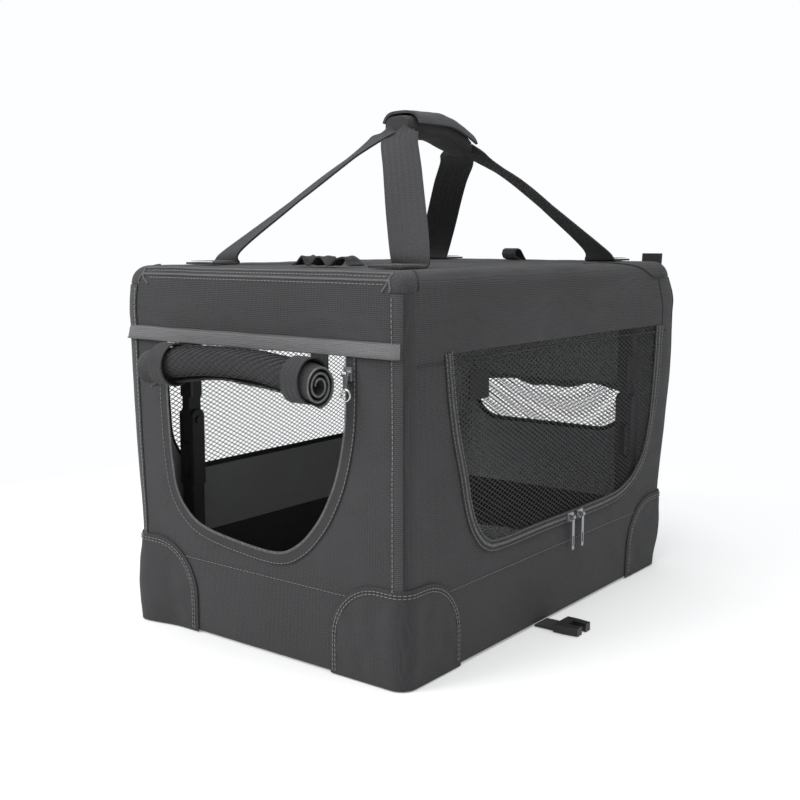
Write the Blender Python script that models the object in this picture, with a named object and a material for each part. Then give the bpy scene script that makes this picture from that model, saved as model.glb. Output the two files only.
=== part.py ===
"""Folding pet carrier: a soft fabric crate on a jointed tube frame.

X runs along the length with the front doorway at -X, the zipped side door is at -Y, Z is up.
The origin is the middle of the base, on the surface that the carrier stands on.
The roof sinks straight down as four kneed posts fold inwards, and the walls crumple with it.
"""
import math

import bmesh
import bpy
from mathutils import Matrix, Vector

for leftover in list(bpy.data.objects):
    bpy.data.objects.remove(leftover, do_unlink=True)

# Fabric body, overall
body_length = 0.500
body_width = 0.340
body_height = 0.360
corner_radius = 0.014
clearance = 0.0003
overshoot = 0.010

# How far the cloth leans out at the top of the back end and of the left side, and the width it bends over
lean_x = 0.016
lean_y = 0.009
lean_from = 0.020

# Fabric shells and trims
fabric = 0.003
patch = 0.0012
tape = 0.0012
tape_width = 0.012
tub_height = 0.072
rim_height = 0.018
roof_edge_radius = 0.015
patch_height = 0.090
patch_reach = 0.082
patch_curve = 0.055
patch_foot = 0.001
hem_low = 0.280
hem_height = 0.012
hem_overhang = 0.003
hem_slope = 0.003

# Jointed frame
tube_radius = 0.007
ring_corner = 0.018
tube_sides = 12
post_setback = 0.060
post_inset = 0.0007
post_deep = 0.016
post_wide = 0.020
post_edge = 0.004
tongue = 0.010
pivot_rise = 0.0217
pin_radius = 0.0025
pin_sides = 12
bracket_pin_inset = 0.0005
knee_pin_inset = 0.001
fork_reach = 0.044
fork_tail = 0.030
fork_lap = 0.004
round_steps = 8
shank_start = 0.014
cheek_radius = 0.010
cheek_inset = 0.0002
slot_floor = 0.0087
button_radius = 0.004
button_rise = 0.020
button_proud = 0.0025
button_depth = 0.002
button_hole = 0.004

# Floor
board = 0.003
board_inset = 0.0005
mat_thickness = 0.013
mat_crown = 0.0036
mat_side = 0.0065
mat_foot_scale = 0.99
mat_channel = 0.003
mat_gap = 0.004
mat_draw = 0.004
mat_rows = 3
mat_columns = 5
mat_cell_steps = 5

# Openings in the walls
opening_top = 0.279
doorway_centre = 0.008
doorway_half_top = 0.119
doorway_half_low = 0.104
doorway_low = 0.095
doorway_curve = 0.075
door_centre = 0.018
door_half_top = 0.204
door_half_low = 0.182
door_low = 0.101
door_curve = 0.075
side_window_half = 0.200
side_window_low = 0.140
side_window_curve = 0.050
end_window_half = 0.116
end_window_low = 0.150
end_window_curve = 0.045

# Nets
net = 0.0014
net_border = 0.009
net_pitch = 0.030
net_hole = 0.0235

# Zip sliders and pulls
slider_long = 0.012
slider_wide = 0.009
slider_thick = 0.003
bail_radius = 0.0009
bail_out = 0.0027
bail_half = 0.0029
lug = 0.0012
eye_radius = 0.0024
eye_play = 0.0004
pull_thick = 0.0014
pull_wide = 0.0046
stem_high = 0.0014
slot_half_wide = 0.0010
slot_half_long = 0.0054
slot_centre = 0.025
slot_corner = 0.0009
side_pull_length = 0.034
front_pull_length = 0.018
ring_pull_length = 0.014
ring_pull_radius = 0.0050
ring_pull_wire = 0.0010
ring_pull_steps = 18
ring_pull_sides = 8
side_slider_centre = 0.039
side_slider_apart = 0.020
front_slider_drop = 0.0065

# Rolled front door and its keepers
roll_radius = 0.019
roll_core = 0.0045
roll_strip = 0.0026
roll_turns = 2.75
roll_steps = 22
roll_near_steps = 3
roll_drop = 0.0165
roll_end_gap = 0.002
keeper = 0.0015
keeper_width = 0.020
keeper_places = (0.092, -0.078)
keeper_sides = 28

# Carrying handle
webbing = 0.0022
webbing_width = 0.038
webbing_pinched = 0.019
lift_ahead = 0.007
lift_up = 0.012
top_ahead = 0.018
top_aside = 0.006
top_drop = 0.012
top_in = 0.004
top_in_drop = 0.001
leg_steps = 7
leg_twist_rate = 2.5
leg_untwist_from = 0.667
leg_pinch_from = 0.52
leg_pinch_rate = 2.5
front_anchor_inset = 0.077
rear_anchor_inset = 0.061
anchor_inset_y = 0.0535
anchor_length = 0.036
grip_centre = 0.018
grip_length = 0.118
grip_width = 0.042
grip_height = 0.024
grip_corner = 0.010
grip_rise = 0.129
wrap = 0.003
wrap_inset = 0.006
leg_spread = 0.0105
leg_entry = 0.0108

# Small pieces on the roof, the back end and the floor
gather_inset = 0.075
gather_y = -0.020
gather_length = 0.072
gather_width = 0.022
gather_height = 0.009
gather_waves = 4
gather_wave_steps = 6
gather_valley = 0.45
gather_waist = 0.85
gather_top = 0.8
stub_inset = 0.100
stub_y = -0.026
stub_length = 0.026
stub_height = 0.014
stub_width = 0.018
stub_lean = 0.006
stub_back = 0.008
stub_shoulder = 0.0056
stub_ridge = 0.0052
rear_tab_inset = 0.028
rear_tab_width = 0.026
rear_tab_height = 0.034
rear_tab_thick = 0.006
rear_tab_proud = 0.009
rear_tab_corner = 0.003
strap_x = -0.022
strap_width = 0.025
strap_length = 0.022
strap_foot = 0.0006
buckle_length = 0.026
buckle_width = 0.030
buckle_height = 0.008
buckle_body = 0.011
buckle_arm = 0.009
buckle_lean = 0.002
strap_end_steps = 6

# Positions worked out from the sizes above
wall_x = body_length / 2 - patch - clearance
wall_y = body_width / 2 - patch - clearance
inner_x = wall_x - fabric
inner_y = wall_y - fabric
rim_low = body_height - rim_height
wall_low = tub_height + clearance
wall_high = rim_low - clearance
ring_x = body_length / 2 - roof_edge_radius
ring_y = body_width / 2 - roof_edge_radius
low_ring_z = fabric + clearance + tube_radius
high_ring_z = body_height - fabric - clearance - tube_radius
low_pivot_z = low_ring_z + pivot_rise
high_pivot_z = high_ring_z - pivot_rise
link = (high_pivot_z - low_pivot_z) / 2
knee_z = low_pivot_z + link
post_x = body_length / 2 - post_setback
post_y = ring_y - post_inset
fork_gap = tongue / 2 + clearance
cheek_out = post_wide / 2 - cheek_inset
hole_radius = pin_radius + clearance
roll_left = doorway_centre + doorway_half_top - slider_wide / 2 - roll_end_gap
roll_right = doorway_centre - doorway_half_top + ring_pull_radius + ring_pull_wire + roll_end_gap
board_x = ring_x - tube_radius - board_inset
board_y = post_y - cheek_out - board_inset
mat_low = fabric + clearance + board + clearance
front_anchor_x = body_length / 2 - front_anchor_inset
rear_anchor_x = body_length / 2 - rear_anchor_inset
anchor_y = body_width / 2 - anchor_inset_y
gather_x = -body_length / 2 + gather_inset
stub_x = body_length / 2 - stub_inset
rear_tab_y = -body_width / 2 + rear_tab_inset
rear_tab_top = body_height + rear_tab_proud
grip_low = body_height + grip_rise
roll_z = opening_top - roll_drop
front_slider_z = opening_top - front_slider_drop


def material(name, colour, roughness, metallic=0.0):
    """A Principled material with the piece's own colour and finish."""
    made = bpy.data.materials.new(name)
    made.use_nodes = True
    shader = made.node_tree.nodes["Principled BSDF"]
    shader.inputs["Base Color"].default_value = (*colour, 1.0)
    shader.inputs["Roughness"].default_value = roughness
    shader.inputs["Metallic"].default_value = metallic
    return made


FABRIC = (0.075, 0.075, 0.078)
FABRIC_DARK = (0.045, 0.045, 0.048)
NET = (0.035, 0.035, 0.038)
WEBBING = (0.060, 0.060, 0.063)
TUBE = (0.090, 0.090, 0.095)
PLASTIC = (0.030, 0.030, 0.032)
ZIP_METAL = (0.320, 0.320, 0.330)
FLEECE = (0.110, 0.110, 0.115)


def lean(point):
    """The back end and the left side of the cloth lean outwards, more the higher they are."""
    height = min(1.0, max(0.0, (point.z - wall_low) / (wall_high - wall_low)))
    past_x = min(1.0, max(0.0, (point.x - inner_x + lean_from) / lean_from))
    past_y = min(1.0, max(0.0, (point.y - inner_y + lean_from) / lean_from))
    return point + Vector((lean_x * past_x * height, lean_y * past_y * height, 0))


def piece(name, mesh_source, colour, roughness=0.85, metallic=0.0, origin=(0, 0, 0), smooth=None,
          leans=False):
    """Turn a bmesh, or a mesh already in place, into a named object with its origin where it pivots."""
    if isinstance(mesh_source, bmesh.types.BMesh):
        mesh = bpy.data.meshes.new(name)
        bmesh.ops.recalc_face_normals(mesh_source, faces=mesh_source.faces)
        mesh_source.to_mesh(mesh)
        mesh_source.free()
    else:
        mesh = mesh_source
        mesh.name = name
    if leans:
        for vert in mesh.vertices:
            vert.co = lean(vert.co)
    mesh.transform(Matrix.Translation(-Vector(origin)))
    mesh.materials.clear()
    mesh.materials.append(material(name + "_finish", colour, roughness, metallic))
    if smooth is not None:
        mesh.shade_smooth()
        mesh.set_sharp_from_angle(angle=math.radians(smooth))
    made = bpy.data.objects.new(name, mesh)
    made.location = origin
    bpy.context.scene.collection.objects.link(made)
    return made


def in_plane(plane, u, v, depth):
    """A 3-D point from two coordinates along a plane's axes and one square to it."""
    place = dict(zip(plane, (u, v)))
    return Vector([place.get(axis, depth) for axis in "XYZ"])


def slab(outline, plane, low, high):
    """A closed solid: the outline pushed square to its plane from low to high."""
    bm = bmesh.new()
    bottom = [bm.verts.new(in_plane(plane, u, v, low)) for u, v in outline]
    top = [bm.verts.new(in_plane(plane, u, v, high)) for u, v in outline]
    count = len(outline)
    bm.faces.new(bottom)
    bm.faces.new(list(reversed(top)))
    for i in range(count):
        j = (i + 1) % count
        bm.faces.new((bottom[i], top[i], top[j], bottom[j]))
    bmesh.ops.recalc_face_normals(bm, faces=bm.faces)
    return bm


def rounded(corners, radii, steps=5):
    """The polygon through the corners, with an arc of its own radius at each."""
    points = []
    count = len(corners)
    for i, corner in enumerate(corners):
        here = Vector(corner)
        back = (Vector(corners[i - 1]) - here).normalized()
        ahead = (Vector(corners[(i + 1) % count]) - here).normalized()
        radius = radii[i]
        if radius == 0:
            points.append(here)
            continue
        half = back.angle(ahead) / 2
        centre = here + (back + ahead).normalized() * (radius / math.sin(half))
        start = here + back * (radius / math.tan(half)) - centre
        end = here + ahead * (radius / math.tan(half)) - centre
        turn = start.angle_signed(end)
        for k in range(steps + 1):
            points.append(centre + Matrix.Rotation(-turn * k / steps, 2) @ start)
    return [(p.x, p.y) for p in points]


def rectangle(half_u, half_v, radius, steps=4, centre=(0, 0)):
    """A rectangle with equal round corners."""
    u, v = centre
    corners = ((u - half_u, v - half_v), (u + half_u, v - half_v),
               (u + half_u, v + half_v), (u - half_u, v + half_v))
    return rounded(corners, (radius,) * 4, steps)


def bay(centre, half_top, half_low, low, high, curve, steps=8):
    """The outline of a doorway or window: square at the top, round at the two lower corners."""
    corners = ((centre + half_top, high), (centre - half_top, high),
               (centre - half_low, low), (centre + half_low, low))
    return rounded(corners, (0, 0, curve, curve), steps)


def grown(shape, by):
    """The same bay with its sides and bottom moved outwards."""
    centre, half_top, half_low, low, high, curve = shape
    return (centre, half_top + by, half_low + by, low - by, high, curve + by)


def apply_cuts(base, others):
    """Join and cut a bmesh with others, given as (operation, bmesh) pairs, and return the finished mesh."""
    made = []
    for bm in [base] + [bm for operation, bm in others]:
        mesh = bpy.data.meshes.new("shape")
        bm.to_mesh(mesh)
        bm.free()
        holder = bpy.data.objects.new("shape", mesh)
        bpy.context.scene.collection.objects.link(holder)
        made.append(holder)
    for (operation, bm), holder in zip(others, made[1:]):
        step = made[0].modifiers.new("step", "BOOLEAN")
        step.operation = operation
        step.object = holder
        step.solver = "EXACT"
    bpy.context.view_layer.update()
    shaped = made[0].evaluated_get(bpy.context.evaluated_depsgraph_get())
    mesh = bpy.data.meshes.new_from_object(shaped)
    for holder in made:
        bpy.data.objects.remove(holder, do_unlink=True)
    return mesh


def rod(plane, centre, radius, low, high, sides=16):
    """A round rod square to the plane."""
    u, v = centre
    circle = [
        (u + radius * math.cos(math.tau * k / sides), v + radius * math.sin(math.tau * k / sides))
        for k in range(sides)
    ]
    return slab(circle, plane, low, high)


def block(x, y, z, edge=0.0):
    """A box between the given limits, with round upright edges if asked."""
    outline = rectangle((x[1] - x[0]) / 2, (y[1] - y[0]) / 2, edge, 3, ((x[0] + x[1]) / 2, (y[0] + y[1]) / 2))
    if edge == 0:
        outline = [(x[0], y[0]), (x[1], y[0]), (x[1], y[1]), (x[0], y[1])]
    return slab(outline, "XY", z[0], z[1])


def sweep(stations, closed=False, thin=False):
    """A closed solid through rings of points, each ring given as a list of vectors.

    A thin strip that twists has rings of four points, and is split along the same diagonals on both faces.
    """
    bm = bmesh.new()
    rings = [[bm.verts.new(p) for p in ring] for ring in stations]
    count = len(rings[0])
    last = len(rings) if closed else len(rings) - 1
    for i in range(last):
        here = rings[i]
        ahead = rings[(i + 1) % len(rings)]
        for k in range(count):
            m = (k + 1) % count
            corners = (here[k], here[m], ahead[m], ahead[k])
            if thin and k % 2 == 0:
                a, b, c, d = corners if k == 0 else corners[1:] + corners[:1]
                bm.faces.new((a, b, c))
                bm.faces.new((a, c, d))
            else:
                bm.faces.new(corners)
    if not closed:
        bm.faces.new(list(reversed(rings[0])))
        bm.faces.new(rings[-1])
    bmesh.ops.recalc_face_normals(bm, faces=bm.faces)
    return bm


def wrapped_strip(side, thickness, outer_y, outer_x, radius):
    """Plan of a side panel: straight along the side, with its two ends turned round the corners."""
    outer = rounded(
        ((-outer_x, outer_y - radius), (-outer_x, outer_y), (outer_x, outer_y), (outer_x, outer_y - radius)),
        (0, radius - 1e-6, radius - 1e-6, 0), 6)
    inner_radius = radius - thickness
    inner = rounded(
        ((-outer_x + thickness, outer_y - radius), (-outer_x + thickness, outer_y - thickness),
         (outer_x - thickness, outer_y - thickness), (outer_x - thickness, outer_y - radius)),
        (0, inner_radius - 1e-6, inner_radius - 1e-6, 0), 6)
    plan = outer[1:-1] + list(reversed(inner[1:-1]))
    return [(x, side * y) for x, y in plan]


def end_strip(side):
    """Plan of a flat end panel, between the turned ends of the side panels."""
    half = wall_y - corner_radius - clearance
    low, high = sorted((side * wall_x, side * inner_x))
    return [(low, -half), (high, -half), (high, half), (low, half)]


# Base tub

def base_tub():
    floor_outline = rectangle(inner_x - clearance, inner_y - clearance, corner_radius - fabric, 5)
    piece("floor_panel", slab(floor_outline, "XY", 0.0, fabric), FABRIC)
    for name, side in (("front", -1), ("back", 1)):
        piece("base_band_" + name, slab(end_strip(side), "XY", 0.0, tub_height), FABRIC)
    for name, side in (("left", 1), ("right", -1)):
        plan = wrapped_strip(side, fabric, wall_y, wall_x, corner_radius)
        piece("base_band_" + name, slab(plan, "XY", 0.0, tub_height), FABRIC, smooth=40)


def corner_place(u, offset):
    """A point on the body's corner, u metres round it from the middle of its bend, pushed outwards."""
    half_bend = corner_radius * math.pi / 4
    if abs(u) <= half_bend:
        angle = math.pi / 4 + u / corner_radius
        reach = corner_radius + offset
        return (wall_x - corner_radius + reach * math.cos(angle),
                wall_y - corner_radius + reach * math.sin(angle))
    along = abs(u) - half_bend
    if u < 0:
        return (wall_x + offset, wall_y - corner_radius - along)
    return (wall_x - corner_radius - along, wall_y + offset)


def corner_patches():
    half_bend = corner_radius * math.pi / 4
    reach = patch_reach - corner_radius + half_bend
    free = [reach - patch_curve * (1 - math.cos(math.radians(a))) for a in (0, 18, 36, 54, 72, 90)]
    bend = [half_bend * k / 3 for k in (3, 2, 1, 0)]
    right = free + bend
    columns = [-u for u in right] + list(reversed(right[:-1]))
    for end, x_side in (("front", -1), ("back", 1)):
        for hand, y_side in (("left", 1), ("right", -1)):
            stations = []
            for u in columns:
                inwards = min(reach - abs(u), patch_curve)
                top = patch_height - patch_curve + math.sqrt(patch_curve ** 2 - (patch_curve - inwards) ** 2)
                ring = []
                for offset, z in ((clearance, patch_foot), (clearance + patch, patch_foot),
                                  (clearance + patch, top), (clearance, top)):
                    x, y = corner_place(u, offset)
                    ring.append(Vector((x_side * x, y_side * y, z)))
                stations.append(ring)
            piece("corner_patch_" + end + "_" + hand, sweep(stations), FABRIC_DARK, smooth=40, leans=True)


# Floor board and quilted mat

def floor_pieces():
    board_low = fabric + clearance
    board_outline = rectangle(board_x, board_y, ring_corner - tube_radius, 5)
    piece("base_board", slab(board_outline, "XY", board_low, board_low + board), PLASTIC, 0.7)

    half_x = board_x - mat_gap
    half_y = board_y - mat_gap
    across = mat_cell_steps * mat_columns
    deep = mat_cell_steps * mat_rows
    side_low = mat_low + mat_side
    top_z = mat_low + mat_thickness
    bm = bmesh.new()

    def draw_in(i, j):
        """Corners are round, and the sides pull in between them."""
        s = 2 * i / across - 1
        t = 2 * j / deep - 1
        x = s * (half_x - mat_draw * (1 - t * t) * abs(s))
        y = t * (half_y - mat_draw * (1 - s * s) * abs(t))
        past_x = abs(x) - (half_x - ring_corner)
        past_y = abs(y) - (half_y - ring_corner)
        if past_x > 0 and past_y > 0:
            shrink = max(past_x, past_y) / math.hypot(past_x, past_y)
            x = math.copysign(half_x - ring_corner + past_x * shrink, x)
            y = math.copysign(half_y - ring_corner + past_y * shrink, y)
        return x, y, s, t

    def channel(k, cells, count):
        """One at the middle of a quilted cell and nought on its sewn channel."""
        phase = k / count * cells
        return math.sin(math.pi * (phase % 1.0)) if 0 < k < count else 0.0

    grid = {}
    for i in range(across + 1):
        for j in range(deep + 1):
            x, y, s, t = draw_in(i, j)
            puff = channel(i, mat_columns, across) * channel(j, mat_rows, deep)
            crown = (1 - s ** 4) * (1 - t ** 4)
            edge = i in (0, across) or j in (0, deep)
            z = side_low if edge else top_z - mat_channel * (1 - puff) + mat_crown * crown
            grid[i, j] = bm.verts.new((x, y, z))
    for i in range(across):
        for j in range(deep):
            bm.faces.new((grid[i, j], grid[i + 1, j], grid[i + 1, j + 1], grid[i, j + 1]))
    rim = ([grid[i, 0] for i in range(across)] + [grid[across, j] for j in range(deep)]
           + [grid[i, deep] for i in range(across, 0, -1)] + [grid[0, j] for j in range(deep, 0, -1)])
    foot = [bm.verts.new((v.co.x * mat_foot_scale, v.co.y * mat_foot_scale, mat_low)) for v in rim]
    for k in range(len(rim)):
        m = (k + 1) % len(rim)
        bm.faces.new((rim[k], foot[k], foot[m], rim[m]))
    bm.faces.new(foot)
    piece("floor_mat", bm, FLEECE, 0.95, smooth=60)


# Tube rings with the hinge brackets welded to them

def tube_ring(z):
    path = rectangle(ring_x, ring_y, ring_corner, 5)
    count = len(path)
    stations = []
    for i in range(count):
        here = Vector((*path[i], z))
        behind = Vector((*path[i - 1], z))
        ahead = Vector((*path[(i + 1) % count], z))
        run = ((here - behind).normalized() + (ahead - here).normalized()).normalized()
        side = run.cross(Vector((0, 0, 1)))
        stations.append([
            here + (side * math.cos(a) + Vector((0, 0, 1)) * math.sin(a)) * tube_radius
            for a in [math.tau * k / tube_sides for k in range(tube_sides)]
        ])
    return sweep(stations, closed=True)


def bracket_parts(x, y, ring_z, up):
    """Web, two cheeks and the pin of a hinge bracket; up is 1 on the lower ring and -1 on the upper."""
    pivot_z = ring_z + up * pivot_rise
    cheek = [(x - cheek_radius, ring_z), (x + cheek_radius, ring_z)]
    for k in range(round_steps + 1):
        angle = math.pi * k / round_steps
        cheek.append((x + cheek_radius * math.cos(angle), pivot_z + up * cheek_radius * math.sin(angle)))
    floor = pivot_z - up * slot_floor
    web = [(x - cheek_radius, ring_z), (x + cheek_radius, ring_z),
           (x + cheek_radius, floor), (x - cheek_radius, floor)]
    parts = [slab(web, "XZ", y - fork_gap, y + fork_gap)]
    for low, high in ((-cheek_out, -fork_gap), (fork_gap, cheek_out)):
        parts.append(slab(cheek, "XZ", y + low, y + high))
    pin_half = cheek_out - bracket_pin_inset
    parts.append(rod("XZ", (x, pivot_z), pin_radius, y - pin_half, y + pin_half, pin_sides))
    return parts


def frame_ring(name, ring_z, up):
    others = []
    for x in (-post_x, post_x):
        for y in (-post_y, post_y):
            others += [("UNION", part) for part in bracket_parts(x, y, ring_z, up)]
    piece(name, apply_cuts(tube_ring(ring_z), others), TUBE, 0.45, 0.6, smooth=35)


# Kneed posts: a lower link with a fork at the knee, an upper link with a tongue in it

def post_outline(low, high):
    """A link's side view between two pivots' heights, round about each."""
    points = []
    for start, middle in ((0, high), (math.pi, low)):
        for k in range(round_steps + 1):
            angle = start + math.pi * k / round_steps
            points.append((post_deep / 2 * math.cos(angle), middle + post_deep / 2 * math.sin(angle)))
    return points


def shank(low, high):
    half_x = post_deep / 2
    half_y = post_wide / 2
    return block((-half_x, half_x), (-half_y, half_y), (low, high), post_edge)


def lower_post_mesh(inner_side):
    """Heights are from the lower pivot, the knee lies at the link's length."""
    shank_end = link - fork_reach - clearance
    core = slab(post_outline(0.0, shank_end - post_deep / 2 + fork_lap), "XZ", -tongue / 2, tongue / 2)
    others = [("UNION", shank(shank_start, shank_end))]
    fork = [(-post_deep / 2, shank_end - fork_lap), (post_deep / 2, shank_end - fork_lap)]
    tail = link + fork_tail
    fork += [(post_deep / 2, tail - post_edge), (post_deep / 2 - post_edge, tail)]
    fork += [(-post_deep / 2 + post_edge, tail), (-post_deep / 2, tail - post_edge)]
    for low, high in ((-post_wide / 2, -fork_gap), (fork_gap, post_wide / 2)):
        others.append(("UNION", slab(fork, "XZ", low, high)))
    pin_half = post_wide / 2 - knee_pin_inset
    others.append(("UNION", rod("XZ", (0, link), pin_radius, -pin_half, pin_half, pin_sides)))
    others.append(("DIFFERENCE", rod("XZ", (0, 0), hole_radius, -post_wide, post_wide, pin_sides)))
    face = inner_side * post_wide / 2
    low, high = sorted((face - inner_side * button_hole, face + inner_side * overshoot))
    hole = rod("XZ", (0, link + button_rise), button_radius + clearance, low, high, pin_sides)
    others.append(("DIFFERENCE", hole))
    return apply_cuts(core, others)


def upper_post_mesh():
    """Heights are from the knee, the upper pivot lies at the link's length."""
    core = slab(post_outline(0.0, link), "XZ", -tongue / 2, tongue / 2)
    others = [("UNION", shank(fork_reach, link - shank_start))]
    for z in (0.0, link):
        others.append(("DIFFERENCE", rod("XZ", (0, z), hole_radius, -post_wide, post_wide, pin_sides)))
    return apply_cuts(core, others)


def posts():
    for end, x in (("front", -post_x), ("rear", post_x)):
        for hand, y in (("left", post_y), ("right", -post_y)):
            label = end + "_" + hand
            inner_side = -1 if y > 0 else 1
            lower = lower_post_mesh(inner_side)
            lower.transform(Matrix.Translation((x, y, low_pivot_z)))
            piece("lower_post_" + label, lower, TUBE, 0.45, 0.6, (x, y, low_pivot_z), 35)
            upper = upper_post_mesh()
            upper.transform(Matrix.Translation((x, y, knee_z)))
            piece("upper_post_" + label, upper, TUBE, 0.45, 0.6, (x, y, knee_z), 35)
            face = y + inner_side * post_wide / 2
            low, high = sorted((face - inner_side * button_depth, face + inner_side * button_proud))
            button_z = knee_z + button_rise
            button = rod("XZ", (x, button_z), button_radius, low, high, 14)
            piece("knee_button_" + label, button, PLASTIC, 0.5, 0.0, (x, face, button_z), 35)


# Roof: a flat panel on the tube ring, sewn into a rim with round edges

def roof():
    def loop(inset, radius, z):
        outline = rectangle(body_length / 2 - inset, body_width / 2 - inset, radius, 5)
        return [Vector((x, y, z)) for x, y in outline]

    plan_radius = corner_radius + patch + clearance
    least_radius = 0.0004
    edge = roof_edge_radius
    angles = [math.radians(a) for a in (0, 22.5, 45, 67.5, 90)]
    stations = []
    inner_edge = edge - fabric
    for a in reversed(angles):
        inset = fabric + inner_edge * (1 - math.cos(a))
        z = body_height - edge + inner_edge * math.sin(a)
        stations.append(loop(inset, max(plan_radius - inset, least_radius), z))
    stations.append(loop(fabric, plan_radius - fabric, rim_low))
    stations.append(loop(0, plan_radius, rim_low))
    for a in angles:
        inset = edge * (1 - math.cos(a))
        z = body_height - edge + edge * math.sin(a)
        stations.append(loop(inset, max(plan_radius - inset, least_radius), z))
    piece("roof_rim", sweep(stations, closed=True), FABRIC, smooth=30, leans=True)
    half_x, half_y = body_length / 2 - edge - clearance, body_width / 2 - edge - clearance
    panel = rectangle(half_x, half_y, least_radius, 5)
    piece("roof_panel", slab(panel, "XY", body_height - fabric, body_height), FABRIC, leans=True)


# Walls, which crumple as the frame folds

DOORWAY = (doorway_centre, doorway_half_top, doorway_half_low, doorway_low, opening_top, doorway_curve)
SIDE_DOOR = (door_centre, door_half_top, door_half_low, door_low, opening_top, door_curve)
SIDE_WINDOW = (0.0, side_window_half, side_window_half, side_window_low, opening_top, side_window_curve)
END_WINDOW = (0.0, end_window_half, end_window_half, end_window_low, opening_top, end_window_curve)


def walls():
    hem_high = hem_low + hem_height
    profile = [(-inner_x, wall_low), (-wall_x, wall_low), (-wall_x, hem_low), (-wall_x - hem_overhang, hem_low),
               (-wall_x - hem_overhang, hem_high - hem_slope), (-wall_x, hem_high), (-wall_x, wall_high),
               (-inner_x, wall_high)]
    half = wall_y - corner_radius - clearance
    front = slab(profile, "XZ", -half, half)
    hole = slab(bay(*DOORWAY), "YZ", -wall_x - overshoot, -inner_x + overshoot)
    piece("front_wall", apply_cuts(front, [("DIFFERENCE", hole)]), FABRIC, leans=True)

    back = slab(end_strip(1), "XY", wall_low, wall_high)
    hole = slab(bay(*END_WINDOW), "YZ", inner_x - overshoot, wall_x + overshoot)
    piece("back_wall", apply_cuts(back, [("DIFFERENCE", hole)]), FABRIC, leans=True)

    for name, side, shape in (("left", 1, SIDE_WINDOW), ("right", -1, SIDE_DOOR)):
        plan = wrapped_strip(side, fabric, wall_y, wall_x, corner_radius)
        low, high = sorted((side * (inner_y - overshoot), side * (wall_y + overshoot)))
        hole = slab(bay(*shape), "XZ", low, high)
        wall = apply_cuts(slab(plan, "XY", wall_low, wall_high), [("DIFFERENCE", hole)])
        piece(name + "_wall", wall, FABRIC, smooth=40, leans=True)


def zip_tape(name, shape, plane, face, outwards):
    """A tape that lies over the edge of an opening, on its sides and bottom."""
    half = tape_width / 2
    outer = bay(*grown(shape, half))
    inner = bay(*grown(shape, -half))
    outline = outer[1:] + outer[:1]
    back = inner[1:] + inner[:1]
    low, high = sorted((face + outwards * clearance, face + outwards * (clearance + tape)))
    piece(name, slab(outline + list(reversed(back)), plane, low, high), FABRIC_DARK)


def inside(point, outline):
    """Whether a point lies within an outline."""
    u, v = point
    hit = False
    for (u0, v0), (u1, v1) in zip(outline, outline[1:] + outline[:1]):
        if (v0 > v) != (v1 > v) and u < (u1 - u0) * (v - v0) / (v1 - v0) + u0:
            hit = not hit
    return hit


def net_panel(name, shape, plane, low, high):
    """A flat net: a sheet with rows of diamond gaps, each row half a step from the last."""
    centre, half_top, half_low, bottom, top, curve = grown(shape, -clearance)
    top -= clearance
    sheet = bay(centre, half_top, half_low, bottom, top, curve)
    keep = bay(centre, half_top - net_border, half_low - net_border, bottom + net_border, top - net_border,
               curve - net_border)
    gaps = bmesh.new()
    half = net_hole / 2
    gap_low, gap_high = low - overshoot, high + overshoot
    rows = int((top - bottom) / (net_pitch / 2)) + 1
    columns = int(2 * half_top / net_pitch) + 2
    for row in range(rows):
        v = bottom + net_border + half + row * net_pitch / 2
        for column in range(-columns, columns + 1):
            u = centre + (column + 0.5 * (row % 2)) * net_pitch
            corners = [(u + half, v), (u, v + half), (u - half, v), (u, v - half)]
            if all(inside(corner, keep) for corner in corners):
                prism = slab(corners, plane, gap_low, gap_high)
                holder = bpy.data.meshes.new("gap")
                prism.to_mesh(holder)
                prism.free()
                gaps.from_mesh(holder)
                bpy.data.meshes.remove(holder)
    piece(name, apply_cuts(slab(sheet, plane, low, high), [("DIFFERENCE", gaps)]), NET, 0.7, leans=True)


# Zip sliders with hanging pulls; local axes are along the bail, outwards, up

def slider_mesh(long_way, up_way):
    """A slider's body with the bail that its pull hangs on, standing on the tape at outwards = 0."""
    body = block((-long_way / 2, long_way / 2), (0, slider_thick), (-up_way / 2, up_way / 2))
    out = slider_thick + bail_out
    others = []
    for side in (-1, 1):
        low, high = sorted((side * bail_half, side * (bail_half + lug)))
        lug_outline = [(slider_thick - 0.001, -lug), (out + bail_radius, -lug), (out + bail_radius, lug),
                       (slider_thick - 0.001, lug)]
        others.append(("UNION", slab(lug_outline, "YZ", low, high)))
    others.append(("UNION", rod("YZ", (out, 0), bail_radius, -bail_half - lug / 2, bail_half + lug / 2, 10)))
    return apply_cuts(body, others)


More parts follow.
